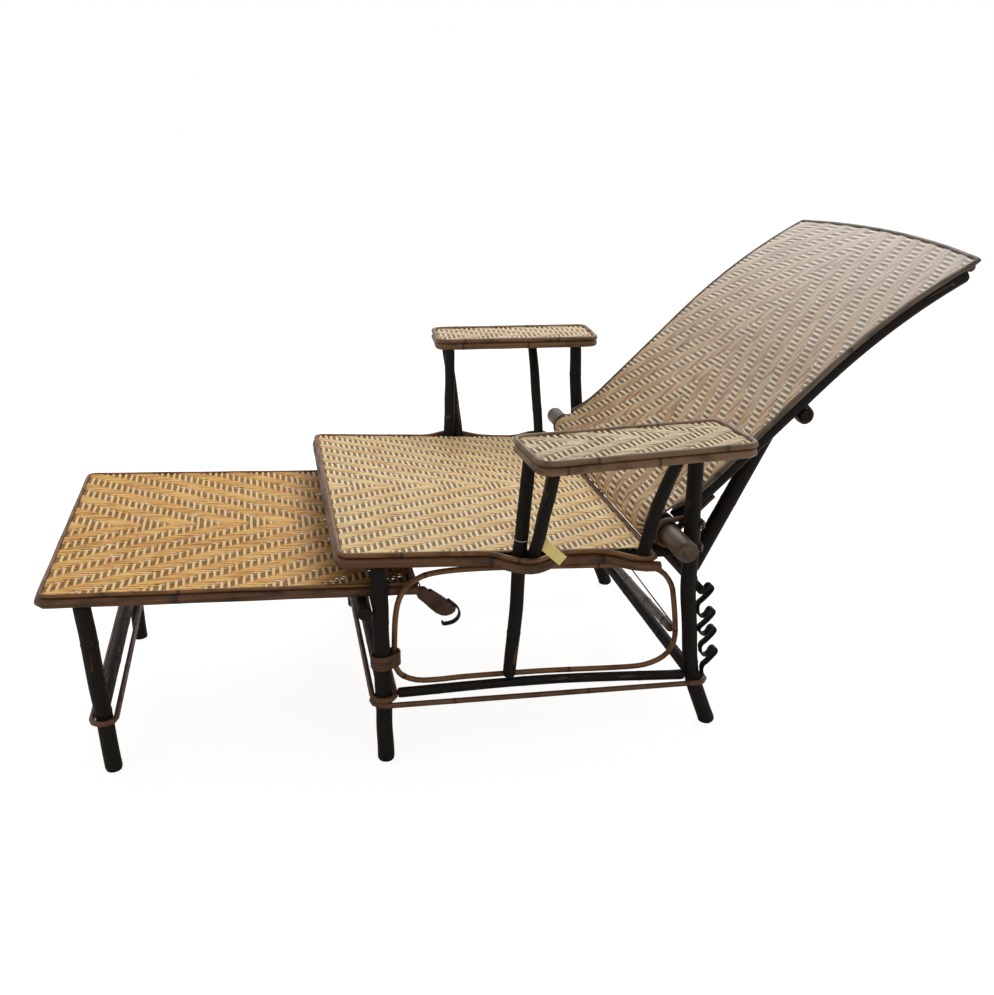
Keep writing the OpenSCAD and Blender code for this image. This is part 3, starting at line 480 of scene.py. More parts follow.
@dataclass(frozen=True)
class ForgedIron:
    """Bent strip iron, blackened in the forge, with brown rust in its skin."""

    name: str = "blackened_strip_iron"
    black: str = "#131312"
    rust: str = "#2c2018"
    metallic: float = 0.6

    def build(self) -> bpy.types.Material:
        """Builds the material from the object's coordinates.

        Returns:
            The material.
        """
        material, tree, shader = new_material(self.name)
        place = add_node(tree, "ShaderNodeTexCoord").outputs["Object"]
        # Rust spots of 6 mm
        spots = spotted(tree, place, (160.0, 160.0, 160.0), 5.0)
        colour = stained(tree, self.black, self.rust, spots, 0.52, 0.7, 0.8)
        rough = add_node(tree, "ShaderNodeMapRange", {0: spots, 1: 0.3, 2: 0.7, 3: 0.4, 4: 0.7})
        skin = {"Strength": 0.5, "Distance": 0.0005, "Height": spots}
        bump = add_node(tree, "ShaderNodeBump", skin)
        feed(tree, shader, {
            "Base Color": colour, "Roughness": rough.outputs[0], "Normal": bump.outputs[0],
            "Metallic": self.metallic,
        })
        return material


@dataclass(frozen=True)
class TagPaper:
    """Uncoated yellow paper, or undyed thread: matt, faintly fibrous."""

    name: str = "yellow_tag_paper"
    paper: str = "#ffe896"
    stain: str = "#e8c668"
    roughness: float = 0.85

    def build(self) -> bpy.types.Material:
        """Builds the material from the object's coordinates.

        Returns:
            The material.
        """
        material, tree, shader = new_material(self.name)
        place = add_node(tree, "ShaderNodeTexCoord").outputs["Object"]
        # Fibres of 1.4 mm, as coarse as they need to be to show
        fibre = spotted(tree, place, (700.0, 700.0, 700.0), 4.0)
        colour = stained(tree, self.paper, self.stain, fibre, 0.4, 0.75, 0.6)
        skin = {"Strength": 0.2, "Distance": 0.0001, "Height": fibre}
        bump = add_node(tree, "ShaderNodeBump", skin)
        feed(tree, shader, {
            "Base Color": colour, "Roughness": self.roughness, "Normal": bump.outputs[0],
        })
        return material


class Finish(Enum):
    """Finishes of the chair's pieces."""

    # Cream cane under clear varnish, the cleanest weave, with brown painted shade in its gaps
    SEAT_WEAVE = WovenCane(
        "woven_cane_seat", "#fce0a8", "#e4bd82", "#966a3e", gap="#643f26", weft_highlight="#f8e8c4"
    )
    # Golden cane, with a painted shadow where it slides under the seat
    FOOT_WEAVE = WovenCane(
        "woven_cane_footrest", "#f8ca7c", "#dea558", "#8c5826", gap="#6b411f",
        weft_highlight="#f6d698", painted_light_from=355.0, painted_light_to=480.0, far="#5c3d24", painted_light_share=0.88,
    )
    # Greyed cane, worn by arms and hands
    ARM_WEAVE = WovenCane(
        "woven_cane_arms", "#ecdab8", "#c6ab84", "#806548", gap="#4d3522", groove_shade="#42301f"
    )
    # Brown cane under a painted pale haze that greys it towards the crest
    BACK_WEAVE = WovenCane(
        "woven_cane_back", "#dbbb90", "#b48f66", "#76563a", gap="#5e422c", weft_highlight="#ecdcba",
        groove_shade="#503a28", painted_light_from=170.0, painted_light_to=700.0, far="#dcd6d2", painted_light_share=0.56,
        painted_light_mix="MIX",
    )
    # Nearly black bark with a dull shine along its ridges; its colours hold painted shade as well
    # as the bark's own dark brown
    BARK = BarkStick()
    # The same bark with the same painted shade, rubbed brown by feet
    WORN_BARK = BarkStick("rubbed_bark_rattan", "#100c08", "#241a11", "#6b4e30", 0.1)
    # Glossy chestnut cane, round the mats and stretchers
    BORDER = PeeledCane()
    # The thinner cane beside it, a shade more golden
    EDGE = PeeledCane("varnished_edge_cane", "#96673a", "#5f3d22", "#2a1a10")
    # Cane whose varnish hands have worn to a dull tan
    ARM_CANE = PeeledCane("worn_arm_cane", "#8a6a48", "#6a5038", "#33261b")
    # Cane gone grey-brown in the weather
    BACK_CANE = PeeledCane("smoked_edge_cane", "#7c6a56", "#4e4032", "#2a2118")
    # Split cane wound wet, whose turns show as brown ridges
    LASHING = PeeledCane("split_cane_binding", "#6e4b2a", "#46301b", "#20150c")
    # The darkest cane: flat straps that the back and the prop turn in
    STRAP = PeeledCane("split_cane_strap", "#4f3823", "#302114", "#181009", own_grain=False)
    # Close-grained red-brown wood with an oiled sheen
    TAB_WOOD = PeeledCane("oiled_hardwood_tab", "#5a3826", "#3c2318", "#20130d", own_grain=False)
    # Thick pole without its bark, fawn and mottled, its colours toned down with painted shade
    PALE_POLE = PeeledCane("pale_rattan_pole", "#725c44", "#4a392a", "#211812")
    # Black strip with a soft glint and brown bloom
    IRON = ForgedIron()
    # Matt butter-yellow paper
    PAPER = TagPaper()
    # Matt off-white thread
    THREAD = TagPaper("undyed_cotton_thread", "#cfc9bd", "#a59d8f")

    def material(self) -> bpy.types.Material:
        """Gives the finish's material, built once."""
        return bpy.data.materials.get(self.value.name) or self.value.build()


SLOTS = {
    WovenCane: "weave", BarkStick: "bark_stick", PeeledCane: "cane",
    ForgedIron: "iron", TagPaper: "paper",
}


# Makers of the repeated kinds of piece


def deselect() -> None:
    """Leaves edit mode and deselects everything."""
    if bpy.context.mode != "OBJECT":
        bpy.ops.object.mode_set(mode="OBJECT")
    bpy.ops.object.select_all(action="DESELECT")


def make_active(piece: bpy.types.Object) -> None:
    """Selects one piece alone and makes it the active one.

    Args:
        piece: The piece.
    """
    deselect()
    bpy.context.view_layer.objects.active = piece
    piece.select_set(True)


def vertices(piece: bpy.types.Object) -> np.ndarray:
    """Reads all vertices of a piece.

    Args:
        piece: A mesh object.

    Returns:
        Rows of x, y, z in metres.
    """
    spots = np.empty(3 * len(piece.data.vertices), dtype=np.float32)
    piece.data.vertices.foreach_get("co", spots)
    return spots.reshape(-1, 3).astype(float)


def move_vertices(piece: bpy.types.Object, spots: np.ndarray) -> None:
    """Writes new places for all vertices of a piece, in metres."""
    piece.data.vertices.foreach_set("co", np.ascontiguousarray(spots, dtype=np.float32).ravel())
    piece.data.update()


def point_values(mesh: bpy.types.Mesh, name: str, kind: str, values: np.ndarray) -> None:
    """Writes one value or vector per vertex.

    Args:
        mesh: The mesh.
        name: Name of the attribute.
        kind: FLOAT or FLOAT_VECTOR.
        values: One row per vertex.
    """
    attribute = mesh.attributes.new(name, kind, "POINT")
    key = "vector" if kind == "FLOAT_VECTOR" else "value"
    attribute.data.foreach_set(key, np.ascontiguousarray(values, dtype=np.float32).ravel())


def drawn(points: Iterable, edges: list, faces: list) -> bpy.types.Object:
    """Makes a mesh object from points in metres.

    Args:
        points: Rows of x, y, z.
        edges: Pairs of points.
        faces: Rings of points.

    Returns:
        The object, selected alone.
    """
    deselect()
    bpy.ops.mesh.primitive_plane_add()
    piece = bpy.context.object
    piece.data.clear_geometry()
    piece.data.from_pydata([tuple(p) for p in points], edges, faces)
    return piece


def modified(piece: bpy.types.Object, kind: str, **settings: object) -> None:
    """Adds a modifier to the active piece and applies it.

    Args:
        piece: A mesh object.
        kind: The modifier's type.
        **settings: Its properties.
    """
    modifier = piece.modifiers.new(kind.lower(), kind)
    for name, value in settings.items():
        setattr(modifier, name, value)
    bpy.ops.object.modifier_apply(modifier=modifier.name)


def joined(pieces: list[bpy.types.Object]) -> bpy.types.Object:
    """Joins meshes that are one piece of the chair.

    Args:
        pieces: Mesh objects; the first one stays.

    Returns:
        The joined object.
    """
    deselect()
    for piece in pieces:
        piece.select_set(True)
    bpy.context.view_layer.objects.active = pieces[0]
    bpy.ops.object.join()
    return pieces[0]


def finish_piece(
    piece: bpy.types.Object, name: str, finish: Finish, body: str, *nodes: str
) -> None:
    """Names and dresses a piece, hangs it under its body and hides the CAD nodes that it stands
    for.

    Args:
        piece: The finished mesh object.
        name: Its name.
        finish: Its finish.
        body: The CAD body that it rides on.
        *nodes: The CAD nodes that it stands for.
    """
    piece.name = name
    piece.data.name = name
    piece.data.materials.clear()
    piece.data.materials.append(finish.material())
    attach(piece, body)
    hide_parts(*nodes)
    "bamboo" if finish is Finish.PALE_POLE else SLOTS[type(finish.value)]
    log.info("%s: %d faces", name, len(piece.data.polygons))


@dataclass
class Stick:
    """A round stick or cane swept through knots of x, y, z and diameter, in mm."""

    knots: list[Knot]
    closed: bool = False
    straight: bool = False
    joints: float = 0.0
    rise: float = 0.05
    waver: float = 0.0
    seed: int = 1
    sides: int = 12
    step: float = 11.0
    blunt: float = 0.1
    blunt_over: float = 4.5
    joint_width: float = 2.6

    def line(self) -> np.ndarray:
        """Draws the smooth line through the knots.

        Returns:
            Rows of x, y, z and diameter, close together.
        """
        knots = np.array(self.knots, dtype=float)
        count = len(knots)
        if self.straight:
            return np.vstack([knots, knots[:1]]) if self.closed else knots
        rows = []
        for i in range(count if self.closed else count - 1):
            places = [i - 1, i, i + 1, i + 2]
            if not self.closed:
                places = [min(max(k, 0), count - 1) for k in places]
            a, b, c, d = (knots[k % count] for k in places)
            for t in np.arange(0.0, 1.0, 0.1):
                rows.append(
                    (2 * b + (c - a) * t + (2 * a - 5 * b + 4 * c - d) * t**2
                     + (3 * b - a - 3 * c + d) * t**3) / 2
                )
        rows.append(knots[0] if self.closed else knots[-1])
        return np.array(rows)

    def stations(self, length: float) -> tuple[np.ndarray, np.ndarray]:
        """Chooses the rings' places along the stick.

        Args:
            length: Length of the stick in mm.

        Returns:
            The places, and the places of its joints.
        """
        places = list(np.linspace(0.0, length, max(3, int(length / self.step) + 1)))
        joints = np.array([])
        if self.joints:
            random = np.random.default_rng(self.seed)
            first = self.joints * (0.3 + 0.5 * random.random())
            joints = np.arange(first, length - 12.0, self.joints)
            joints = joints + random.uniform(-0.18, 0.18, len(joints)) * self.joints
            for joint in joints:
                places = [p for p in places if abs(p - joint) > JOINT_RINGS[-1] + 1.0]
                places += [joint + k for k in JOINT_RINGS]
        if not self.closed:
            inner = END_RINGS[-1] + 0.5
            places = [p for p in places if inner < p < length - inner]
            places += [p for k in END_RINGS for p in (k, length - k)]
        return np.array(sorted(p for p in places if 0.0 <= p <= length)), joints

    def build(self) -> bpy.types.Object:
        """Sweeps the stick as a bevelled curve and makes it a mesh.

        Returns:
            The mesh object, with grain and ring attributes.
        """
        line = self.line()
        gaps = np.linalg.norm(np.diff(line[:, :3], axis=0), axis=1)
        travel = np.concatenate([[0.0], np.cumsum(gaps)])
        length = float(travel[-1])
        places, joints = self.stations(length)
        if self.closed:
            places = places[:-1]
        rows = np.stack([np.interp(places, travel, line[:, k]) for k in range(4)], axis=1)
        end = np.minimum(places, length - places)
        random = np.random.default_rng(self.seed + 7)
        if self.waver:
            fade = np.ones(len(places)) if self.closed else np.clip(end / 40.0, 0.0, 1.0)
            for axis in range(3):
                turns = max(1, round(length / 150.0)) * (1 + random.integers(0, 2))
                wave = np.sin(2 * math.pi * (turns * places / length + random.random()))
                rows[:, axis] += self.waver * wave * fade
        swell = np.zeros(len(places))
        for joint in joints:
            swell = np.maximum(swell, np.exp(-(((places - joint) / self.joint_width) ** 2)))
        radius = rows[:, 3] / 2 * (1 + self.rise * swell)
        if not self.closed:
            radius *= 1 - self.blunt * np.clip(1 - end / self.blunt_over, 0.0, 1.0) ** 2
        return self.sweep(rows, radius, places, swell)

    def sweep(
        self, rows: np.ndarray, radius: np.ndarray, places: np.ndarray, swell: np.ndarray
    ) -> bpy.types.Object:
        """Makes the tube round the line.

        Args:
            rows: Centres of the rings in mm.
            radius: Radius at each ring in mm.
            places: Distance of each ring from the start in mm.
            swell: How near each ring is to a joint, from 0 to 1.

        Returns:
            The mesh object.
        """
        deselect()
        bpy.ops.curve.primitive_nurbs_path_add()
        data = bpy.context.object.data
        data.splines.clear()
        spline = data.splines.new("POLY")
        spline.points.add(len(rows) - 1)
        centres = np.column_stack([to_frame(rows[:, :3]), np.ones(len(rows))])
        spline.points.foreach_set("co", centres.astype(np.float32).ravel())
        spline.points.foreach_set("radius", (radius * MM).astype(np.float32))
        spline.use_cyclic_u = self.closed
        data.dimensions = "3D"
        data.bevel_depth = 1.0
        data.bevel_resolution = (self.sides - 4) // 2
        data.use_fill_caps = not self.closed
        bpy.ops.object.convert(target="MESH")
        piece = bpy.context.object
        mesh = piece.data
        total = len(mesh.vertices)
        ring = np.minimum(np.arange(total) // self.sides, len(rows) - 1)
        # The two caps have vertices of their own, after those of the rings
        spare = total - len(rows) * self.sides
        if spare > 0:
            ring[-spare : -spare // 2] = 0
        angle = 2 * math.pi * (np.arange(total) % self.sides) / self.sides
        around = radius[ring] * MM
        along = places[ring] * MM + 3.7 * self.seed
        grain = np.column_stack([along, around * np.cos(angle), around * np.sin(angle)])
        point_values(mesh, "grain", "FLOAT_VECTOR", grain)
        point_values(mesh, "ring", "FLOAT", swell[ring])
        make_active(piece)
        bpy.ops.object.mode_set(mode="EDIT")
        bpy.ops.mesh.select_all(action="SELECT")
        bpy.ops.mesh.remove_doubles(threshold=DOUBLES)
        bpy.ops.object.mode_set(mode="OBJECT")
        bpy.ops.object.shade_smooth_by_angle(angle=math.radians(50))
        return piece


@dataclass
class Strip:
    """A flat strip bent in the XZ plane, with its width along Y, in mm."""

    path: list[tuple[float, float]]
    y: float
    width: float
    thickness: float
    bevel: float = 0.5
    rounds: int = 3

    def build(self) -> bpy.types.Object:
        """Extrudes the path's line and gives it its thickness.

        Returns:
            The mesh object.
        """
        path = self.path
        for _ in range(self.rounds):
            cut = [path[0]]
            for a, b in zip(path[:-1], path[1:]):
                cut.append((0.75 * a[0] + 0.25 * b[0], 0.75 * a[1] + 0.25 * b[1]))
                cut.append((0.25 * a[0] + 0.75 * b[0], 0.25 * a[1] + 0.75 * b[1]))
            path = cut + [self.path[-1]]
        rows = to_frame(np.array([(x, self.y - self.width / 2, z) for x, z in path]))
        piece = drawn(rows, [(i, i + 1) for i in range(len(rows) - 1)], [])
        bpy.ops.object.mode_set(mode="EDIT")
        bpy.ops.mesh.select_all(action="SELECT")
        bpy.ops.mesh.extrude_edges_move(
            TRANSFORM_OT_translate={"value": (0.0, self.width * MM, 0.0)}
        )
        bpy.ops.mesh.select_all(action="SELECT")
        bpy.ops.mesh.remove_doubles(threshold=DOUBLES)
        bpy.ops.mesh.normals_make_consistent(inside=False)
        bpy.ops.object.mode_set(mode="OBJECT")
        modified(
            piece, "SOLIDIFY", thickness=self.thickness * MM, offset=0.0, use_even_offset=True
        )
        modified(piece, "BEVEL", width=self.bevel * MM, segments=2, angle_limit=math.radians(50))
        bpy.ops.object.shade_smooth_by_angle(angle=math.radians(40))
        return piece


@dataclass
class Plate:
    """A flat piece of wood cut to an outline in the XZ plane, with worn edges, in mm."""

    outline: list[tuple[float, float]]
    y: float
    thickness: float
    bevel: float = 1.6

    def build(self) -> bpy.types.Object:
        """Extrudes the outline across and rounds its edges.

        Returns:
            The mesh object.
        """
        low = self.y - self.thickness / 2
        rows = to_frame(np.array([(x, low, z) for x, z in self.outline]))
        piece = drawn(rows, [], [tuple(range(len(rows)))])
        bpy.ops.object.mode_set(mode="EDIT")
        bpy.ops.mesh.select_all(action="SELECT")
        bpy.ops.mesh.extrude_region_move(
            TRANSFORM_OT_translate={"value": (0.0, self.thickness * MM, 0.0)}
        )
        bpy.ops.mesh.select_all(action="SELECT")
        bpy.ops.mesh.normals_make_consistent(inside=False)
        bpy.ops.object.mode_set(mode="OBJECT")
        modified(piece, "BEVEL", width=self.bevel * MM, segments=3, angle_limit=math.radians(40))
        bpy.ops.object.shade_smooth_by_angle(angle=math.radians(40))
        return piece


@dataclass
class WovenPanel:
    """A herringbone of flat cane strands: warps run along X, wefts across, in mm."""

    length: float
    half: float
    corner: float = 8.0
    warp_pitch: float = 5.35
    weft_pitch: float = 9.85
    cycle: int = 8
    stitch: int = 4
    wave: float = 0.75
    weft_width: float = 5.3
    phase: float = 0.0
    near: float = 1.0
    far: float = 1.0
    apex: float = 0.0
    seed: int = 1

    def strand_unit(self, along_x: bool) -> bpy.types.Object:
        """Models one period of one strand, over and under the strands that it crosses.

        Args:
            along_x: True for a warp, False for a weft.

        Returns:
            The mesh object of one strand, flat below and ridged above.
        """
        pitch = self.weft_pitch if along_x else self.warp_pitch
        width = 0.98 * self.warp_pitch if along_x else self.weft_width
        length = self.cycle * pitch
        places = 0.5 * pitch + np.linspace(0.0, length, (2 if along_x else 1) * self.cycle + 1)
        crossings = np.arange(-1, self.cycle + 2)
        under = (-crossings) % self.cycle < self.stitch if along_x else (
            crossings % self.cycle >= self.stitch
        )
        heights = np.where(under, -self.wave, self.wave)
        level = np.interp(places, (crossings + 0.5) * pitch, heights)
        middle = (self.cycle - self.stitch + 2) / 2 if along_x else self.stitch / 2
        crown = np.cos(2 * math.pi * (places / length - middle / self.cycle))
        centre = level + 0.25 * self.wave * np.clip(crown, 0.0, 1.0)
        section = [(-width / 2, -0.8), (width / 2, -0.8), (0.3 * width, 0.35), (-0.3 * width, 0.35)]
        # The edge and depth values below tell the material where to paint shade: in the grooves at
        # each strand's foot, and where a strand lies under those it crosses
        rings, faces, edge, sunk_shade = [], [], [], []
        for i, (s, z) in enumerate(zip(places, centre)):
            rings += [
                tuple(MM * v for v in ((s, across, z + up) if along_x else (across, s, z + up)))
                for across, up in section
            ]
            for k in range(4 if i else 0):
                a, b = 4 * (i - 1) + k, 4 * (i - 1) + (k + 1) % 4
                quad = (a, b, b + 4, a + 4)
                faces.append(quad[::-1] if along_x else quad)
                for corner in faces[-1]:
                    low = (self.wave - level[corner // 4]) / (2 * self.wave)
                    edge.append(float(k != 0 and corner % 4 < 2))
                    sunk_shade.append(1.0 - low if k == 0 else low)
        piece = drawn(rings, [], faces)
        for name, values in (("edge", edge), ("sunk_shade", sunk_shade)):
            piece.data.attributes.new(name, "FLOAT", "CORNER").data.foreach_set("value", values)
        return piece

    def repeat(
        self, piece: bpy.types.Object, steps: list[tuple[int, float, float, bool]]
    ) -> None:
        """Repeats the strand with arrays.

        Args:
            piece: The strand.
            steps: For each array its count, its offsets along X and Y in mm, and
                whether the copies join end to end.
        """
        make_active(piece)
        for count, x, y, end_to_end in steps:
            modified(
                piece, "ARRAY", count=count, use_relative_offset=False, use_constant_offset=True,
                constant_offset_displace=(x * MM, y * MM, 0.0), use_merge_vertices=end_to_end,
                merge_threshold=5e-5,
            )

    def cut(
        self, place: tuple[float, float], outward: tuple[float, float], fill: bool = True
    ) -> None:
        """Cuts away what lies beyond a vertical plane.

        Args:
            place: A point of the plane, x and y in mm.
            outward: Its direction towards the part that goes.
            fill: Whether the strands' cut ends are closed.
        """
        bpy.ops.mesh.select_all(action="SELECT")
        bpy.ops.mesh.bisect(
            plane_co=(place[0] * MM, place[1] * MM, 0.0), plane_no=(*outward, 0.0),
            use_fill=fill, clear_outer=True,
        )

    def strands(self) -> bpy.types.Object:
        """Weaves the half panel where y is negative and mirrors it.

        Returns:
            The flat panel, not yet cut to its outline.
        """
        period_x = self.cycle * self.weft_pitch
        period_y = self.cycle * self.warp_pitch
        reach = (self.half + abs(self.apex)) / min(self.near, self.far)
        rows = math.ceil(reach / period_y) + 1
        columns = math.ceil(self.length / period_x) + 2
        start_x, start_y = self.phase - period_x, -rows * period_y
        turn = (self.cycle, self.weft_pitch, self.warp_pitch, False)
        parts = []
        for along_x in (True, False):
            piece = self.strand_unit(along_x)
            if along_x:
                steps = [turn, (columns + 1, period_x, 0.0, True), (rows, 0.0, period_y, False)]
                shift = (start_x - period_x, start_y + 0.5 * self.warp_pitch)
            else:
                steps = [turn, (rows + 2, 0.0, period_y, True), (columns, period_x, 0.0, False)]
                shift = (start_x + 0.5 * self.weft_pitch, start_y - period_y)
            self.repeat(piece, steps)
            spots = vertices(piece)
            spots[:, 0] += shift[0] * MM
            spots[:, 1] += shift[1] * MM
            move_vertices(piece, self.uneven(spots, along_x))
            weft = np.full(len(spots), 0.0 if along_x else 1.0)
            point_values(piece.data, "weft", "FLOAT", weft)
            parts.append(piece)
        panel = joined(parts)
        bpy.ops.object.mode_set(mode="EDIT")
        self.cut((0.0, 0.0), (0.0, 1.0), fill=False)
        bpy.ops.object.mode_set(mode="OBJECT")
        modified(
            panel, "MIRROR", use_axis=(False, True, False), use_clip=False, merge_threshold=2e-5
        )
        return panel

    def uneven(self, spots: np.ndarray, along_x: bool) -> np.ndarray:
        """Gives the strands their uneven widths and wandering lines.

        Args:
            spots: Vertices in metres.
            along_x: True for the warps.

        Returns:
            The moved vertices.
        """
        random = np.random.default_rng(self.seed)
        axis, pitch, start = (1, self.warp_pitch * MM, 0.0) if along_x else (
            0, self.weft_pitch * MM, self.phase * MM
        )
        index = np.floor((spots[:, axis] - start) / pitch).astype(int)
        middle = (index + 0.5) * pitch + start
        breadth, length, turn, lift = random.uniform(-1.0, 1.0, (4, CHANCES))[:, index % CHANCES]
        width = (1.06 if along_x else 1.0) + 0.07 * breadth
        spots[:, axis] = middle + (spots[:, axis] - middle) * width
        run = spots[:, 1 - axis]
        swing = np.sin(2 * math.pi * (run / (0.09 + 0.03 * length) + turn))
        spots[:, axis] += 0.05 * pitch * swing * np.clip(np.abs(spots[:, 1]) / 0.02, 0.0, 1.0)
        spots[:, 2] += 0.00015 * np.sin(2 * math.pi * (run / 0.031 + lift * 3))
        spots[:, 2] += 0.0001 * lift
        return spots

    def build(self) -> bpy.types.Object:
        """Weaves the panel, cuts its outline and keeps its flat coordinates.

        Returns:
            The flat panel, from x = 0 to its length, about y = 0.
        """
        panel = self.strands()
        spots = vertices(panel)
        spots[:, 1] *= np.where(spots[:, 1] < 0.0, self.near, self.far)
        spots[:, 1] += self.apex * MM
        move_vertices(panel, spots)
        make_active(panel)
        bpy.ops.object.mode_set(mode="EDIT")
        self.cut((0.0, 0.0), (-1.0, 0.0))
        self.cut((self.length, 0.0), (1.0, 0.0))
        bite = 0.6 * self.corner
        for way in (-1.0, 1.0):
            self.cut((0.0, way * self.half), (0.0, way))
            self.cut((bite, way * self.half), (-0.7071, way * 0.7071))
            self.cut((self.length - bite, way * self.half), (0.7071, way * 0.7071))
        bpy.ops.object.mode_set(mode="OBJECT")
        point_values(panel.data, "flat", "FLOAT_VECTOR", vertices(panel))
        bpy.ops.object.shade_smooth_by_angle(angle=math.radians(30))
        return panel


# Sub-assemblies


@dataclass
class Seat:
    """The seat: its weave, border canes, and the bars under it."""

    length: float = 486.0
    border: float = 16.0
    edge: float = 8.0
    border_y: float = 294.0
    swing: float = 35.0
    swing_over: float = 66.0
    posts: tuple[float, float] = (281.5, 461.0)
    corner: float = 10.0
    weave_x: tuple[float, float] = (12.5, 473.5)
    weave_half: float = 289.6
    weave_drop: float = 3.3
    bar: float = 22.0
    bar_y: float = 261.5
    bar_drop: float = 19.0
    bar_ends: tuple[float, float] = (24.0, 530.0)
    cross_bar: float = 18.0
    cross_half: float = 250.0
    cross_drop: float = 17.0
    cross_ends: tuple[float, float] = (33.0, 453.0)
    rail_half: float = 287.7
    rail_z: float = 327.1

    def out(self, x: float) -> float:
        """Half width of the border cane's line, which swings out round the posts."""
        near = min(min(abs(x - post) for post in self.posts), self.swing_over)
        return self.border_y + self.swing * (1 + math.cos(math.pi * near / self.swing_over)) / 2

    def side(self) -> list[tuple[float, float]]:
        """Plan of the border on the right side, from the rear to the front."""
        r, end = self.corner, self.length - self.border / 2 + 0.9
        points = arc(end - r, self.out(self.posts[1]) - r, r, (0, 30, 60, 90))
        rear_swing = (444, 428, 412, 396, 380, 364)
        front_swing = (334, 322, 310, 300, 291, 282, 272, 262, 252, 240, 228, 215)
        points += [(x, self.out(x)) for x in rear_swing + front_swing]
        points.append((120.0, self.border_y))
        return points + arc(8.0 + r, self.border_y - r, r, (90, 120, 150, 180))

    def ring(self, side: list[tuple[float, float]], drop: float, d: float) -> list[Knot]:
        """Knots of a border cane, down one side and back up the other."""
        right = [(x, y, seat_z(x) - drop, d) for x, y in side]
        return right + [(x, -y, z, d) for x, y, z, d in reversed(right)]

    def weave(self) -> None:
        """Weaves the seat and lays it in its border."""
        start, end = self.weave_x
        panel = WovenPanel((end - start) / math.cos(SEAT_FALL), self.weave_half, seed=3)
        piece = panel.build()
        spots = vertices(piece)
        x, z = spots[:, 0] + start * MM, spots[:, 2] - self.weave_drop * MM
        spots[:, 0] = x * math.cos(SEAT_FALL) + z * math.sin(SEAT_FALL) + FRONT_X * MM
        spots[:, 2] = SEAT_HEIGHT * MM - x * math.sin(SEAT_FALL) + z * math.cos(SEAT_FALL)
        move_vertices(piece, spots)
        finish_piece(piece, "seat_weave", Finish.SEAT_WEAVE, "frame", "seat_mat")

    def canes(self) -> None:
        """Bends the thin edge cane and the thick border cane."""
        side = self.side()
        edge = Stick(
            self.ring(side, self.edge / 2, self.edge), closed=True, straight=True, joints=260.0,
            rise=0.06, seed=11, waver=0.15, sides=10,
        )
        finish_piece(edge.build(), "seat_edge_cane_bent", Finish.EDGE, "frame", "seat_edge_cane")
        out = self.out(self.posts[1])
        open_side = [(self.length - 2.0, out), (self.posts[1], out), *side[4:]]
        knots = self.ring(open_side, self.border / 2 + self.edge + 0.3, self.border)
        border = Stick(knots, straight=True, joints=240.0, seed=12, waver=0.2).build()
        finish_piece(border, "seat_border_cane_bent", Finish.BORDER, "frame", "seat_border_cane")

    def bars(self) -> None:
        """Makes the side bars, cross bars and rear rail under the weave."""
        for side in (LEFT, RIGHT):
            y, d = side * self.bar_y, self.bar
            knots = [(x, y, seat_z(x) - self.bar_drop, d) for x in self.bar_ends]
            bar = Stick(knots, straight=True, joints=190.0, seed=20 + side).build()
            name = f"seat_side_bar_{side_name(side)}"
            finish_piece(bar, name, Finish.BARK, "frame", "seat_side_bars")
        first, last = self.cross_ends
        for i in range(4):
            x = first + i * (last - first) / 3
            knots = bar_knots(x, self.cross_half, seat_z(x) - self.cross_drop, self.cross_bar)
            bar = Stick(knots, straight=True, joints=210.0, seed=30 + i).build()
            finish_piece(bar, f"seat_cross_bar_{i + 1}", Finish.BARK, "frame", "seat_cross_bars")
        knots = bar_knots(REAR_LEG[0], self.rail_half, self.rail_z, self.bar)
        rail = Stick(knots, straight=True, joints=230.0, seed=35).build()
        finish_piece(rail, "seat_rear_rail_stick", Finish.BARK, "frame", "seat_rear_rail")

    def build(self) -> None:
        """Builds the whole seat."""
        self.weave()
        self.canes()
        self.bars()


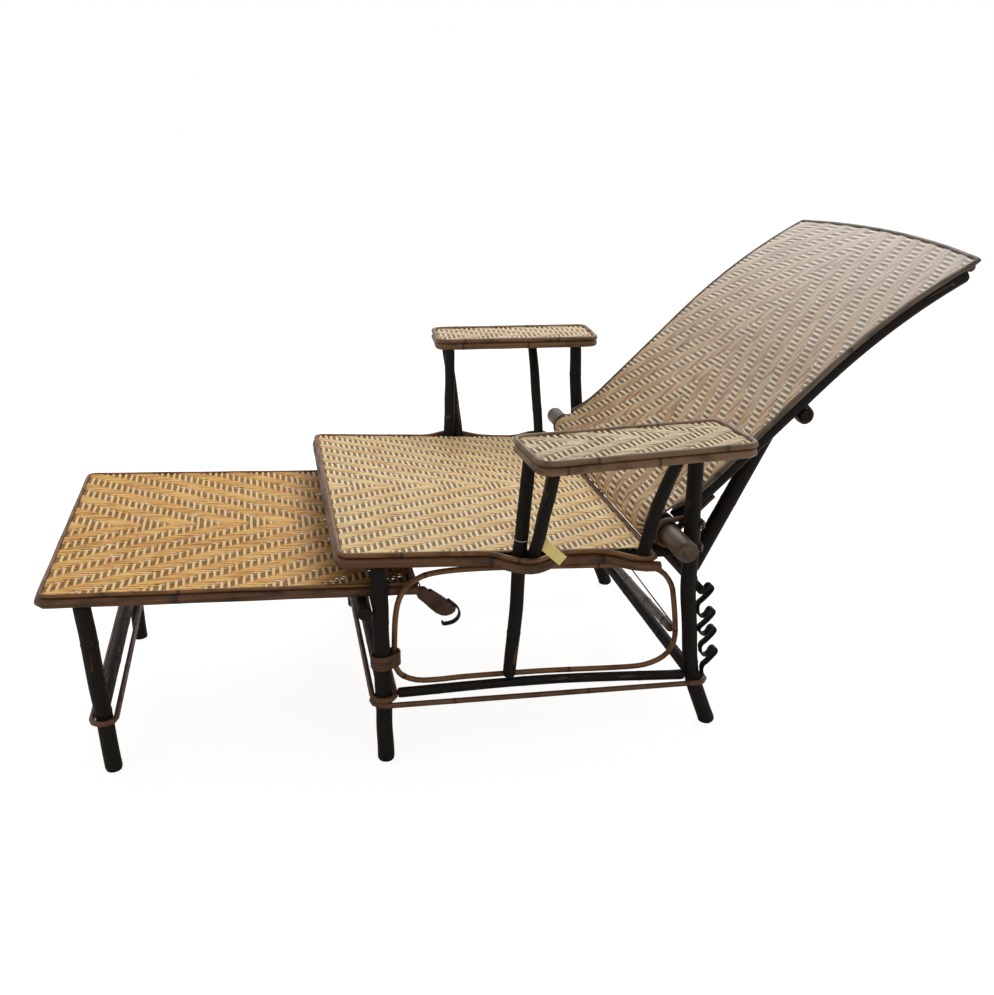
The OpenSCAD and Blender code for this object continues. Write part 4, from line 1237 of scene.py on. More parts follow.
@dataclass
class Legs:
    """Legs, stretchers, wrapped canes and the bent loops in the sides."""

    front_x: float = 66.0
    foot_y: float = 275.0
    splay: float = 12 / 366
    wrap_cane: float = 9.0
    front_leg: list[Knot] = field(default_factory=lambda: [
        (67.0, 275.0, 0.0, 27.0), (66.0, 277.0, 60.0, 25.6), (65.0, 280.9, 180.0, 25.4),
        (64.0, 286.0, 337.1, 24.4),
    ])
    rear_leg: list[Knot] = field(default_factory=lambda: [
        (608.0, 275.0, 0.0, 29.0), (603.0, 275.0, 14.0, 26.4), (578.0, 276.0, 78.0, 26.2),
        (570.0, 277.0, 112.0, 25.4), (560.0, 283.0, 184.0, 25.2), (551.0, 288.0, 250.0, 25.2),
        (*REAR_LEG, 339.0, 25.2), (539.8, 308.0, 371.0, 25.2), (536.0, 313.0, 450.0, 24.2),
        (534.0, 313.0, 513.7, 23.2),
    ])

    def uprights(self) -> None:
        """Makes the four legs."""
        for side in (LEFT, RIGHT):
            tail = side_name(side)
            for end, knots, joints, waver, seed in (
                ("front", self.front_leg, 170.0, 0.5, 40), ("rear", self.rear_leg, 185.0, 0.35, 43),
            ):
                leg = Stick(mirrored(knots, side), joints=joints, waver=waver, seed=seed + side)
                name, node = f"{end}_leg_stick_{tail}", f"{end}_leg_{tail}"
                finish_piece(leg.build(), name, Finish.BARK, "frame", node)

    def stretchers(self) -> None:
        """Makes the cross stretchers, side stretchers and the footrest's bearer."""
        for name, x, z, half, d, seed in (
            ("front_stretcher", self.front_x, 126.0, 266.0, 21.0, 50),
            ("rear_stretcher", 573.0, 94.0, 263.5, 20.0, 51),
            ("footrest_bearer", 40.4, 264.7, 296.0, 22.0, 52),
        ):
            stick = Stick(bar_knots(x, half, z, d), straight=True, joints=180.0, seed=seed).build()
            finish_piece(stick, f"{name}_stick", Finish.BARK, "frame", name)
        y = 278.0
        knots = [(88.7, y, 117.0, 16.0), (323.0, y, 112.5, 15.0), (557.5, y, 94.0, 16.0)]
        for side in (LEFT, RIGHT):
            tail = side_name(side)
            stick = Stick(mirrored(knots, side), joints=160.0, seed=54 + side).build()
            name, node = f"side_stretcher_stick_{tail}", f"side_stretcher_{tail}"
            finish_piece(stick, name, Finish.BARK, "frame", node)

    def wraps(self) -> None:
        """Wraps the canes round the front and side stretchers."""
        x, d = self.front_x, self.wrap_cane
        y = self.foot_y + 110.0 * self.splay
        knots = wrap_knots((x, -y, 116.0), (x, y, 116.0), 25.8, d)
        cane = Stick(knots, closed=True, straight=True, joints=220.0, seed=60, sides=10).build()
        finish_piece(cane, "front_wrap_cane_bent", Finish.BORDER, "frame", "front_wrap_cane")
        for side in (LEFT, RIGHT):
            y = side * (self.foot_y + 99.5 * self.splay)
            knots = wrap_knots((x, y, 107.5), (576.5, side * 276.0, 86.0), 27.8, d)
            cane = Stick(knots, closed=True, straight=True, joints=200.0, seed=63 + side, sides=10)
            name = f"side_wrap_cane_{side_name(side)}"
            finish_piece(cane.build(), name, Finish.BORDER, "frame", "side_wrap_canes")

    def loops(self) -> None:
        """Bends the cane loops that stand between the legs."""
        front, top, knee = 84.0, 321.0, 551.0
        plan = [
            (front + 1, 190), (front + 4, 250), (front + 13, top - 36), (front + 34, top - 14),
            (front + 68, top - 4), (230, seat_z(230) - 34), (380, seat_z(380) - 34),
            (knee - 90, seat_z(450) - 36), (knee - 48, 288), (knee - 26, 262), (knee - 18, 232),
            (knee - 10, 180), (knee - 10, 150), (knee - 22, 128), (knee - 48, 115),
            (knee - 90, 112.5), (320, 122), (200, 126.5), (front + 68, 126.5), (front + 34, 130),
            (front + 10, 144), (front + 1, 165),
        ]
        knots = [(x, 266.0 + 16.0 * (z - 117.0) / 209.0, z, 9.0) for x, z in plan]
        for side in (LEFT, RIGHT):
            tail = side_name(side)
            rows = mirrored(knots, side)
            cane = Stick(rows, closed=True, joints=240.0, seed=70 + side, sides=10).build()
            finish_piece(cane, f"side_loop_cane_{tail}", Finish.EDGE, "frame", f"side_loop_{tail}")

    def bands(self) -> None:
        """Winds flat cane round each front leg and the loop beside it."""
        turns, rise, d, low = 5, 4.6, 5.0, 169.5
        for side in (LEFT, RIGHT):
            coils = []
            for turn in range(turns):
                z = low + turn * rise
                y = 281.1 + 0.0328 * (z - 186.0)
                plan = arc(64.9, y, 15.6, range(45, 316, 18))
                plan += [(82.0, y - 16.8), (90.0, y - 13.0), (92.0, y - 6.0)]
                plan += [(90.0, y + 1.5), (84.0, y + 6.5)]
                knots = mirrored([(px, py, z, d) for px, py in plan], side)
                coils.append(Stick(knots, closed=True, seed=75 + turn, sides=8, step=6.0).build())
            name = f"leg_band_wound_{side_name(side)}"
            finish_piece(joined(coils), name, Finish.LASHING, "frame", "leg_bands")

    def build(self) -> None:
        """Builds the underframe."""
        self.uprights()
        self.stretchers()
        self.wraps()
        self.loops()
        self.bands()


@dataclass
class Arms:
    """Armrests with their posts and struts."""

    length: float = 328.0
    width: float = 131.0
    top: float = 536.0
    toe_in: float = 4.5
    corner: tuple[float, float] = (250.0, 316.5)
    weave_inset: float = 9.3
    weave_drop: float = 4.2
    bar: float = 13.0
    bar_half: float = 52.2
    bar_z: float = 520.5
    bar_places: tuple[float, ...] = (33.0, 222.0, 282.0)
    edge: float = 9.0
    edge_z: float = 531.8

    def placed(self, spots: np.ndarray, side: int) -> np.ndarray:
        """Turns and moves points of an armrest to their place.

        Args:
            spots: Rows drawn from the middle of the inner front edge, in mm.
            side: LEFT or RIGHT.

        Returns:
            Rows in mm from the seat's front edge.
        """
        turn = math.radians(-self.toe_in)
        moved = spots.copy()
        y = spots[:, 1] + self.width / 2
        moved[:, 0] = self.corner[0] + spots[:, 0] * math.cos(turn) - y * math.sin(turn)
        moved[:, 1] = side * (self.corner[1] + spots[:, 0] * math.sin(turn) + y * math.cos(turn))
        return moved

    def rounded(self, inset: float, r: float, z: float, d: float, side: int) -> list[Knot]:
        """Bends a cane to the armrest's outline.

        Args:
            inset: Distance of its middle inside the outline, in mm.
            r: Radius of its corners in mm.
            z: Height of its middle in mm.
            d: Its diameter in mm.
            side: LEFT or RIGHT.

        Returns:
            The knots of the closed cane.
        """
        plan = rounded_outline(inset, self.length - inset, self.width / 2 - inset, r)
        return knots_of(self.placed(np.array([(x, y, z) for x, y in plan]), side), d)

    def rests(self, side: int) -> None:
        """Makes one armrest: its weave, two border canes and cross bars.

        Args:
            side: LEFT or RIGHT.
        """
        tail = side_name(side)
        inset = self.weave_inset
        panel = WovenPanel(
            self.length - 2 * inset, self.width / 2 - inset, 10.0, 5.1, 9.6, phase=59.3,
            apex=-18.0 * side, seed=80 + side,
        )
        piece = panel.build()
        spots = vertices(piece) / MM
        spots[:, 0] += inset
        spots[:, 1] *= side
        placed = self.placed(spots, side)
        placed[:, 2] = spots[:, 2] + self.top - self.weave_drop
        move_vertices(piece, to_frame(placed))
        finish_piece(piece, f"arm_weave_{tail}", Finish.ARM_WEAVE, "frame", f"arm_mat_{tail}")
        for name, shape, joints, seed, waver, sides in (
            ("border", (self.bar / 2, 14.0, self.bar_z, self.bar), 170.0, 83, 0.15, 12),
            ("edge", (self.edge / 2, 15.0, self.edge_z, self.edge), 190.0, 86, 0.1, 10),
        ):
            cane = Stick(
                self.rounded(*shape, side), closed=True, straight=True, joints=joints,
                seed=seed + side, waver=waver, sides=sides,
            ).build()
            node = f"arm_border_{tail}"
            finish_piece(cane, f"arm_{name}_cane_{tail}", Finish.ARM_CANE, "frame", node)
        for i, x in enumerate(self.bar_places):
            rows = np.array([(x, end * self.bar_half, self.bar_z) for end in (-1, 1)])
            knots = knots_of(self.placed(rows, side), self.bar)
            bar = Stick(knots, straight=True, seed=90 + i).build()
            name = f"arm_cross_bar_{tail}_{i + 1}"
            finish_piece(bar, name, Finish.BARK, "frame", "arm_cross_bars")

    def posts(self, side: int) -> None:
        """Makes the middle post and the two struts of one side.

        Args:
            side: LEFT or RIGHT.
        """
        tail = side_name(side)
        post = [
            (263.0, 280.0, 129.0, 20.0), (268.0, 286.0, 200.0, 21.0), (271.0, 295.0, 280.0, 21.0),
            (272.0, 301.0, 348.4, 21.0), (276.0, 312.5, 430.0, 20.0), (279.0, 324.5, 513.7, 19.0),
        ]
        front = [
            (292.0, 307.0, 327.2, 19.0), (292.0, 311.0, 347.2, 19.0), (291.0, 354.0, 412.0, 19.0),
            (287.0, 422.5, 513.7, 19.0),
        ]
        rear = [
            (461.0, 310.0, 324.2, 19.0), (463.0, 354.0, 425.0, 20.0), (467.0, 409.5, 513.7, 18.0),
        ]
        for name, knots, node, seed in (
            (f"arm_post_stick_{tail}", post, f"arm_post_{tail}", 95),
            (f"front_strut_{tail}", front, "front_struts", 98),
            (f"rear_strut_{tail}", rear, "rear_struts", 101),
        ):
            stick = Stick(mirrored(knots, side), joints=150.0, waver=0.4, seed=seed + side)
            finish_piece(stick.build(), name, Finish.BARK, "frame", node)

    def build(self) -> None:
        """Builds both armrests."""
        for side in (LEFT, RIGHT):
            self.rests(side)
            self.posts(side)


@dataclass
class Back:
    """The curved back with its rolled lower end."""

    angle: float = 43.5
    straight: float = 326.0
    length: float = 617.0
    bend: float = 16.2
    crest: float = 22.0
    half: float = 272.0
    top_off: float = 10.0
    mat: float = 5.0
    rail: float = 27.0
    bar: float = 18.0
    bar_half: float = 244.7
    bar_places: tuple[float, ...] = (70.0, 160.0, 312.0, 410.0, 505.0)
    crest_bar: float = 16.0
    edge_cane: float = 8.0
    gap: float = 0.3
    roll: float = 26.0
    roll_swell: float = 7.3
    roll_end: float = 24.7
    roll_side: float = 238.0
    lower: float = 95.0

    @property
    def radius(self) -> float:
        """Radius of the curved part, in mm."""
        return (self.length - self.straight) / math.radians(self.bend)

    def at(self, s: float, off: float) -> tuple[float, float]:
        """Gives the x and z of a point on the back.

        Args:
            s: Distance up the back from the hinge, in mm.
            off: Distance in front of the rail line, in mm.

        Returns:
            Its x and z in mm.
        """
        a = math.radians(self.angle)
        bent = max(0.0, s - self.straight) / self.radius
        run = min(s, self.straight)
        cx = HINGE[0] + run * math.cos(a) + self.radius * math.sin(a)
        cz = HINGE[1] + run * math.sin(a) - self.radius * math.cos(a)
        out = self.radius + off
        return cx - out * math.sin(a - bent), cz + out * math.cos(a - bent)

    def crest_s(self, y: float) -> float:
        """Distance of the crest up the back at a place across it, in mm."""
        return self.length + self.crest * (1 - (y / self.half) ** 2)

    def roll_reach(self, angle: np.ndarray) -> np.ndarray:
        """Gives how far the rolled weave lies from the hinge's axis.

        Args:
            angle: The place round the hinge, in degrees from straight back, over the top.

        Returns:
            The distance in mm: the roll swells towards the seat's edge.
        """
        share = np.clip((angle - 150.0) / 50.0, 0.0, 1.0)
        reach = self.roll + self.roll_swell * share * share * (3.0 - 2.0 * share)
        flat = self.roll / np.maximum(np.abs(np.sin(np.radians(angle))), 0.1)
        return np.where(angle > 200.0, np.minimum(reach, flat), reach)

    def draw_in(self, spots: np.ndarray) -> np.ndarray:
        """Draws the roll's two ends in to the pole, so that they clear the side bars.

        Args:
            spots: The bent weave's points in mm.

        Returns:
            The points, those over the seat's side bars close to the pole.
        """
        away = spots[:, [0, 2]] - np.array(HINGE)
        far = np.hypot(away[:, 0], away[:, 1])
        angle = np.degrees(np.arctan2(away[:, 1], away[:, 0])) % 360.0
        ends = np.clip((np.abs(spots[:, 1]) - self.roll_side) / 11.0, 0.0, 1.0)
        ends = ends * ends * (3.0 - 2.0 * ends) * np.clip((angle - 150.0) / 20.0, 0.0, 1.0)
        ends = ends * ((far < 45.0) & (angle < 275.0))
        scale = 1.0 - (self.roll_reach(angle) - self.roll_end) * ends / far
        spots[:, [0, 2]] = np.array(HINGE) + away * scale[:, None]
        return spots

    def mat_line(self) -> np.ndarray:
        """Draws the side view of the woven back's middle, rolled round the hinge pole."""
        mid = self.top_off - self.mat / 2
        angles = np.linspace(262.0, 112.0, 40)
        turned = np.column_stack([np.cos(np.radians(angles)), np.sin(np.radians(angles))])
        rolled = np.array(HINGE) + self.roll_reach(angles)[:, None] * turned
        e = rolled[-1]
        q, f = np.array(self.at(48.0, mid)), np.array(self.at(self.lower, mid))
        points = [tuple(spot) for spot in rolled[:-1]]
        for t in np.linspace(0.0, 1.0, 20)[:-1]:
            points.append(tuple((1 - t) ** 2 * e + 2 * t * (1 - t) * q + t * t * f))
        for s in np.linspace(self.lower, self.length, 60):
            points.append(self.at(float(s), mid))
        return np.array(points)

    def weave(self) -> None:
        """Weaves the back, bows its top to the crest and bends it to its line."""
        line = self.mat_line()
        travel = np.concatenate([[0.0], np.cumsum(np.linalg.norm(np.diff(line, axis=0), axis=1))])
        total = float(travel[-1])
        # A stitch's tip lies 187 mm above the hinge
        tip = 187.0 - self.lower + float(travel[-60])
        pitch = 9.4
        panel = WovenPanel(
            total, self.half - 0.5, 4.0, 6.7, pitch,
            phase=(tip - 4 * pitch) % (8 * pitch), near=0.88, far=1.12, seed=110,
        )
        piece = panel.build()
        spots = vertices(piece) / MM
        s = spots[:, 0]
        lift = np.clip((s - total + 150.0) / 150.0, 0.0, 1.0) ** 2
        s = s + lift * (self.crest - 1.0) * (1 - (spots[:, 1] / self.half) ** 2)
        ahead = np.array([self.at(self.length + 30.0, self.top_off - self.mat / 2)])
        line = np.vstack([line, ahead])
        travel = np.append(travel, total + float(np.linalg.norm(line[-1] - line[-2])))
        x, z = np.interp(s, travel, line[:, 0]), np.interp(s, travel, line[:, 1])
        heading = np.gradient(line, travel, axis=0)
        hx, hz = np.interp(s, travel, heading[:, 0]), np.interp(s, travel, heading[:, 1])
        size = np.hypot(hx, hz)
        moved = np.column_stack([
            x - hz / size * spots[:, 2], spots[:, 1], z + hx / size * spots[:, 2]
        ])
        move_vertices(piece, to_frame(self.draw_in(moved)))
        finish_piece(piece, "back_weave", Finish.BACK_WEAVE, "back", "back_mat")

    def rails(self) -> None:
        """Makes the two bent rails, the cross bars and the crest bar."""
        under = self.top_off - self.mat - self.gap
        last = self.length - 14.0
        for side in (LEFT, RIGHT):
            tail = side_name(side)
            knots = []
            for s in [22.8, 120.0, 230.0, *np.linspace(self.straight, last, 8)]:
                x, z = self.at(float(s), under - self.rail / 2)
                knots.append((x, side * (self.half - self.rail / 2), z, self.rail))
            rail = Stick(knots, joints=200.0, rise=0.02, seed=115 + side).build()
            finish_piece(rail, f"back_rail_stick_{tail}", Finish.BARK, "back", f"back_rail_{tail}")
        for i, s in enumerate(self.bar_places):
            x, z = self.at(s, under - self.bar / 2)
            knots = bar_knots(x, self.bar_half, z, self.bar)
            bar = Stick(knots, straight=True, joints=220.0, seed=120 + i, rise=0.02).build()
            finish_piece(bar, f"back_cross_bar_{i + 1}", Finish.BARK, "back", "back_cross_bars")
        knots = []
        for y in np.linspace(-264.0, 264.0, 17):
            x, z = self.at(self.crest_s(float(y)) - 5.0, under - self.crest_bar / 2)
            knots.append((x, float(y), z, self.crest_bar))
        bar = Stick(knots, joints=200.0, seed=127, rise=0.02).build()
        finish_piece(bar, "crest_bar_stick", Finish.BACK_CANE, "back", "crest_bar")

    def edge(self) -> None:
        """Bends the edge cane up one side, over the crest and down the other."""
        far, off, end = self.half + 4.3, self.top_off - 4.0, self.length
        side = [
            (s, off + (((100 - s) / 70) ** 2 * 13 if s < 100 else 0))
            for s in (30, 50, 75, 105, 160, 240)
        ]
        side += [(self.straight + i / 7 * (end - 22 - self.straight), off) for i in range(8)]
        corner = [(end - 2, far), (end + 3.6, far - 0.8), (end + 6, far - 7)]
        half = [(*self.at(s, o), far) for s, o in side] + [(*self.at(s, off), y) for s, y in corner]
        for y in np.linspace(far - 20, 0, 7):
            half.append((*self.at(self.crest_s(float(y)) + 4.6, off), float(y)))
        d = self.edge_cane
        rows = [(x, -y, z, d) for x, z, y in half] + [(x, y, z, d) for x, z, y in half[-2::-1]]
        cane = Stick(rows, straight=True, joints=250.0, seed=130, sides=10).build()
        finish_piece(cane, "back_edge_cane_bent", Finish.BACK_CANE, "back", "back_edge_cane")

    def build(self) -> None:
        """Builds the back."""
        self.weave()
        self.rails()
        self.edge()


@dataclass
class Prop:
    """The swinging prop behind the back: its rod, legs, and foot bar with two pegs."""

    rod: float = 21.0
    rod_half: float = 267.0
    rod_at: tuple[float, float] = (733.713, 521.664)
    lean: float = -116.4
    behind: float = 24.3
    leg_y: float = 228.0
    leg_ends: tuple[float, float] = (-3.0, 300.4)
    leg_thick: tuple[float, float] = (26.0, 28.0)
    foot_down: float = 311.7
    foot_bar: float = 22.0
    foot_half: float = 247.5
    peg: float = 10.0
    peg_ends: tuple[float, float] = (240.0, 293.0)

    def at(self, down: float) -> tuple[float, float]:
        """Gives the x and z of a point on the prop's legs, at a distance from its rod."""
        turn = math.radians(self.lean)
        return (self.rod_at[0] + down * math.cos(turn) + self.behind * math.sin(turn),
                self.rod_at[1] + down * math.sin(turn) - self.behind * math.cos(turn))

    def build(self) -> None:
        """Makes the rod, the legs and the foot bar with a peg in each end."""
        knots = bar_knots(self.rod_at[0], self.rod_half, self.rod_at[1], self.rod)
        stick = Stick(knots, straight=True, joints=190.0, seed=140, rise=0.01).build()
        finish_piece(stick, "prop_rod_stick", Finish.BARK, "prop", "prop_rod")
        for side in (LEFT, RIGHT):
            knots = []
            for down, d in zip(self.leg_ends, self.leg_thick):
                x, z = self.at(down)
                knots.append((x, side * self.leg_y, z, d))
            leg = Stick(knots, straight=True, joints=130.0, seed=143 + side, rise=0.03).build()
            finish_piece(leg, f"prop_leg_{side_name(side)}", Finish.BARK, "prop", "prop_legs")
        x, z = self.at(self.foot_down)
        near, far = self.peg_ends
        for name, low, high, d in (
            ("prop_foot_bar_stick", -self.foot_half, self.foot_half, self.foot_bar),
            ("prop_foot_peg_left", -far, -near, self.peg),
            ("prop_foot_peg_right", near, far, self.peg),
        ):
            bar = Stick([(x, y, z, d) for y in (low, high)], straight=True, seed=147).build()
            finish_piece(bar, name, Finish.BARK, "prop", "prop_foot_bar")


@dataclass
class Hinge:
    """The pale hinge pole, and the loose pale pole over the rear stretcher."""

    pole: float = 33.2
    half: float = 371.0
    collar: float = 20.6

    def lashings(self) -> None:
        """Binds the pole to each rear leg: a broad collar inside, a thin cane outside."""
        (x, z), (leg_x, leg_y), r = HINGE, REAR_LEG, self.collar
        for side in (LEFT, RIGHT):
            canes = []
            for inward, d in ((17.4, 8.0), (23.0, 6.0)):
                bow = arc(x, z, r, range(75, 286, 15))
                bow += [
                    (x + 16, z - r - 1.5), (leg_x + 4, z - r - 2.0), (leg_x + 17, z - r + 4),
                    (leg_x + 18, z), (leg_x + 17, z + r - 4), (leg_x + 4, z + r + 2.0),
                    (x + 16, z + r + 1.5),
                ]
                knots = mirrored([(px, leg_y - inward, pz, d) for px, pz in bow], side)
                canes.append(Stick(knots, closed=True, seed=155, sides=8, step=5.0).build())
            for k, up in enumerate((-r - 1.0, -r + 4.4, r - 4.4, r + 1.0)):
                plan = ((15.5, -19.0), (16.5, -8.0), (16.0, 4.0), (10.5, 12.5))
                knots = mirrored([(leg_x + u, leg_y + v, z + up, 5.0) for u, v in plan], side)
                canes.append(Stick(knots, seed=156 + k, sides=8, step=5.0).build())
            name = f"hinge_lashing_cane_{side_name(side)}"
            finish_piece(joined(canes), name, Finish.LASHING, "frame", "hinge_lashings")

    def build(self) -> None:
        """Makes the pale poles and the lashings."""
        knots = bar_knots(HINGE[0], self.half, HINGE[1], self.pole)
        pole = Stick(knots, straight=True, joints=160.0, rise=0.0, seed=150, sides=20)
        finish_piece(pole.build(), "hinge_pole_cane", Finish.PALE_POLE, "frame", "hinge_pole")
        self.lashings()
        knots = [(545.0, -243.0, 163.0, 15.0), (573.0, 135.0, 111.6, 14.0)]
        loose = Stick(knots, straight=True, joints=110.0, rise=0.12, seed=152)
        finish_piece(loose.build(), "rear_pole_cane", Finish.PALE_POLE, "frame", "rear_pole")
        knots = [(545.0, -246.0, 174.9, 3.0), (557.0, -20.0, 166.0, 3.0)]
        thin = Stick(knots, straight=True, seed=153, sides=6).build()
        finish_piece(thin, "rear_thin_cane_strand", Finish.LASHING, "frame", "rear_thin_cane")


@dataclass
class Racks:
    """The iron strip with four open teeth on each rear leg."""

    tilt: float = 8.027
    origin: tuple[float, float] = (564.07, 252.0)
    drops: tuple[float, ...] = (0.0, 43.0, 76.0, 115.0)
    tooth: float = 7.8
    y: float = 285.0
    width: float = 13.0
    thickness: float = 2.7

    def line(self) -> list[tuple[float, float]]:
        """Draws the bent strip down the leg."""
        rows = [(1.5, -24.0)]
        for u in self.drops:
            for a in range(180, 341, 20):
                t = math.radians(a)
                rows.append((9.3 + self.tooth * math.cos(t), u - self.tooth * math.sin(t)))
            rows += [
                (19.0, u - 1), (22.5, u - 3), (26.5, u - 2), (29.0, u + 2), (27.0, u + 8),
                (12.0, u + 20), (1.5, u + 26),
            ]
        rows.append((1.5, self.drops[-1] + 44.0))
        t = math.radians(self.tilt)
        return [
            (self.origin[0] + out * math.cos(t) + down * math.sin(t),
             self.origin[1] + out * math.sin(t) - down * math.cos(t)) for out, down in rows
        ]

    def build(self) -> None:
        """Builds both racks."""
        for side in (LEFT, RIGHT):
            tail = side_name(side)
            plan, y = self.line(), side * self.y
            strip = Strip(plan, y, self.width, self.thickness, rounds=1).build()
            name, node = f"iron_rack_strip_{tail}", f"iron_rack_{tail}"
            finish_piece(strip, name, Finish.IRON, "frame", node)


@dataclass
class Footrest:
    """The pull-out footrest with its legs."""

    length: float = 547.0
    width: float = 538.0
    border: float = 15.0
    border_y: float = 261.5
    weave_inset: float = 11.2
    weave_drop: float = 3.0
    corner: float = 11.0
    edge: float = 6.0
    bar_thick: float = 18.0
    bar_y: float = 244.0
    cross_bar: float = 14.0
    cross_half: float = 234.7
    rear_half: float = 253.7
    stretcher: float = 21.0
    wrap_cane: float = 9.0
    leg_x: float = -349.0
    leg_lean: float = 8.0
    leg_y: float = 217.0
    leg_splay: float = 28.0

    def placed(self, rows: np.ndarray) -> np.ndarray:
        """Tilts and moves rows drawn from the footrest's front edge.

        Args:
            rows: x, y, z in mm, z from the footrest's top at its front edge.

        Returns:
            Rows in mm from the seat's front edge.
        """
        moved = rows.copy()
        cos, sin = math.cos(FOOT_FALL), math.sin(FOOT_FALL)
        moved[:, 0] = -FOOT_REACH + rows[:, 0] * cos + rows[:, 2] * sin
        moved[:, 2] = FOOT_HEIGHT - rows[:, 0] * sin + rows[:, 2] * cos
        return moved

    def bar(
        self, name: str, ends: list[tuple[float, float, float]], d: float, seed: int, **more: float
    ) -> None:
        """Makes a straight bar under the footrest.

        Args:
            name: Its name.
            ends: Its two ends, drawn from the footrest's front edge, in mm.
            d: Its diameter in mm.
            seed: Seed of its joints.
            **more: Other sizes of the stick.
        """
        knots = knots_of(self.placed(np.array(ends)), d)
        bar = Stick(knots, straight=True, seed=seed, **more).build()
        finish_piece(bar, name, Finish.BARK, "footrest", "footrest_bars")

    def weave(self) -> None:
        """Weaves the footrest and lays it in its border."""
        inset = self.weave_inset
        panel = WovenPanel(
            self.length - 2 * inset, self.width / 2 - inset, 8.0, 7.25, 10.75, phase=67.0,
            near=0.9, far=1.1, seed=160,
        )
        piece = panel.build()
        spots = vertices(piece) / MM
        spots[:, 0] += inset
        spots[:, 2] -= self.weave_drop
        move_vertices(piece, to_frame(self.placed(spots)))
        finish_piece(piece, "footrest_weave", Finish.FOOT_WEAVE, "footrest", "footrest_mat")

    def canes(self) -> None:
        """Bends the thick border cane and the thin edge cane."""
        w, front, end = self.border_y, self.border / 2, self.length - self.border / 2
        outline = rounded_outline(front, end, w, self.corner)
        rear = end + 4.0
        border = [(rear, w), *outline[7:21], (rear, -w)]
        for name, plan, drop, d, closed, finish in (
            ("footrest_border_cane", border, 13.8, self.border, False, Finish.BORDER),
            ("footrest_edge_cane", outline, self.edge / 2, self.edge, True, Finish.EDGE),
        ):
            rows = self.placed(np.array([(x, y, -drop) for x, y in plan]))
            cane = Stick(
                knots_of(rows, d), closed=closed, straight=True, joints=230.0, seed=165, waver=0.15
            ).build()
            finish_piece(cane, name, finish, "footrest", "footrest_border_canes")

    def bars(self) -> None:
        """Makes the side bars, the rear bar and the cross bars."""
        for side in (LEFT, RIGHT):
            name, y = f"footrest_side_bar_{side_name(side)}", side * self.bar_y
            ends = [(27.0, y, -15.0), (525.7, y, -15.0)]
            self.bar(name, ends, self.bar_thick, 170 + side, joints=190.0, rise=0.01)
        ends = [(538.0, y, -18.0) for y in (-self.rear_half, self.rear_half)]
        self.bar("footrest_rear_bar", ends, self.bar_thick, 173)
        for i in range(4):
            x = 35.0 + i / 3 * 372.0
            ends = [(x, y, -13.0) for y in (-self.cross_half, self.cross_half)]
            self.bar(f"footrest_cross_bar_{i + 1}", ends, self.cross_bar, 175 + i)

    @property
    def leg_top(self) -> float:
        """Height of the legs' upper ends, in mm."""
        return footrest_z(self.leg_x) - 24.9

    def leg_at(self, z: float, d: float) -> Knot:
        """A knot of the right leg at a height."""
        share = z / self.leg_top
        return self.leg_x - self.leg_lean * share, self.leg_y + self.leg_splay * share, z, d

    def legs(self) -> None:
        """Makes the legs, the stretcher and the wrapped cane."""
        knots = [
            self.leg_at(0.0, 26.4), self.leg_at(60.0, 25.4), self.leg_at(180.0, 25.4),
            self.leg_at(self.leg_top, 25.0),
        ]
        for side in (LEFT, RIGHT):
            tail = side_name(side)
            leg = Stick(mirrored(knots, side), joints=120.0, waver=0.5, seed=180 + side).build()
            name, node = f"footrest_leg_stick_{tail}", f"footrest_leg_{tail}"
            finish_piece(leg, name, Finish.WORN_BARK, "footrest", node)
        x, y, z, d = self.leg_at(112.0, self.stretcher)
        bar = Stick(bar_knots(x, y - 13.0, z, d), straight=True, joints=150.0, seed=183).build()
        name, node = "footrest_stretcher_stick", "footrest_stretcher"
        finish_piece(bar, name, Finish.WORN_BARK, "footrest", node)
        x, y, z, d = self.leg_at(96.0, self.wrap_cane)
        knots = wrap_knots((x, -y, z), (x, y, z), 25.8, d)
        cane = Stick(knots, closed=True, straight=True, joints=210.0, seed=184, sides=10).build()
        name, node = "footrest_wrap_cane_bent", "footrest_wrap_cane"
        finish_piece(cane, name, Finish.BORDER, "footrest", node)

    def build(self) -> None:
        """Builds the footrest."""
        self.weave()
        self.canes()
        self.bars()
        self.legs()


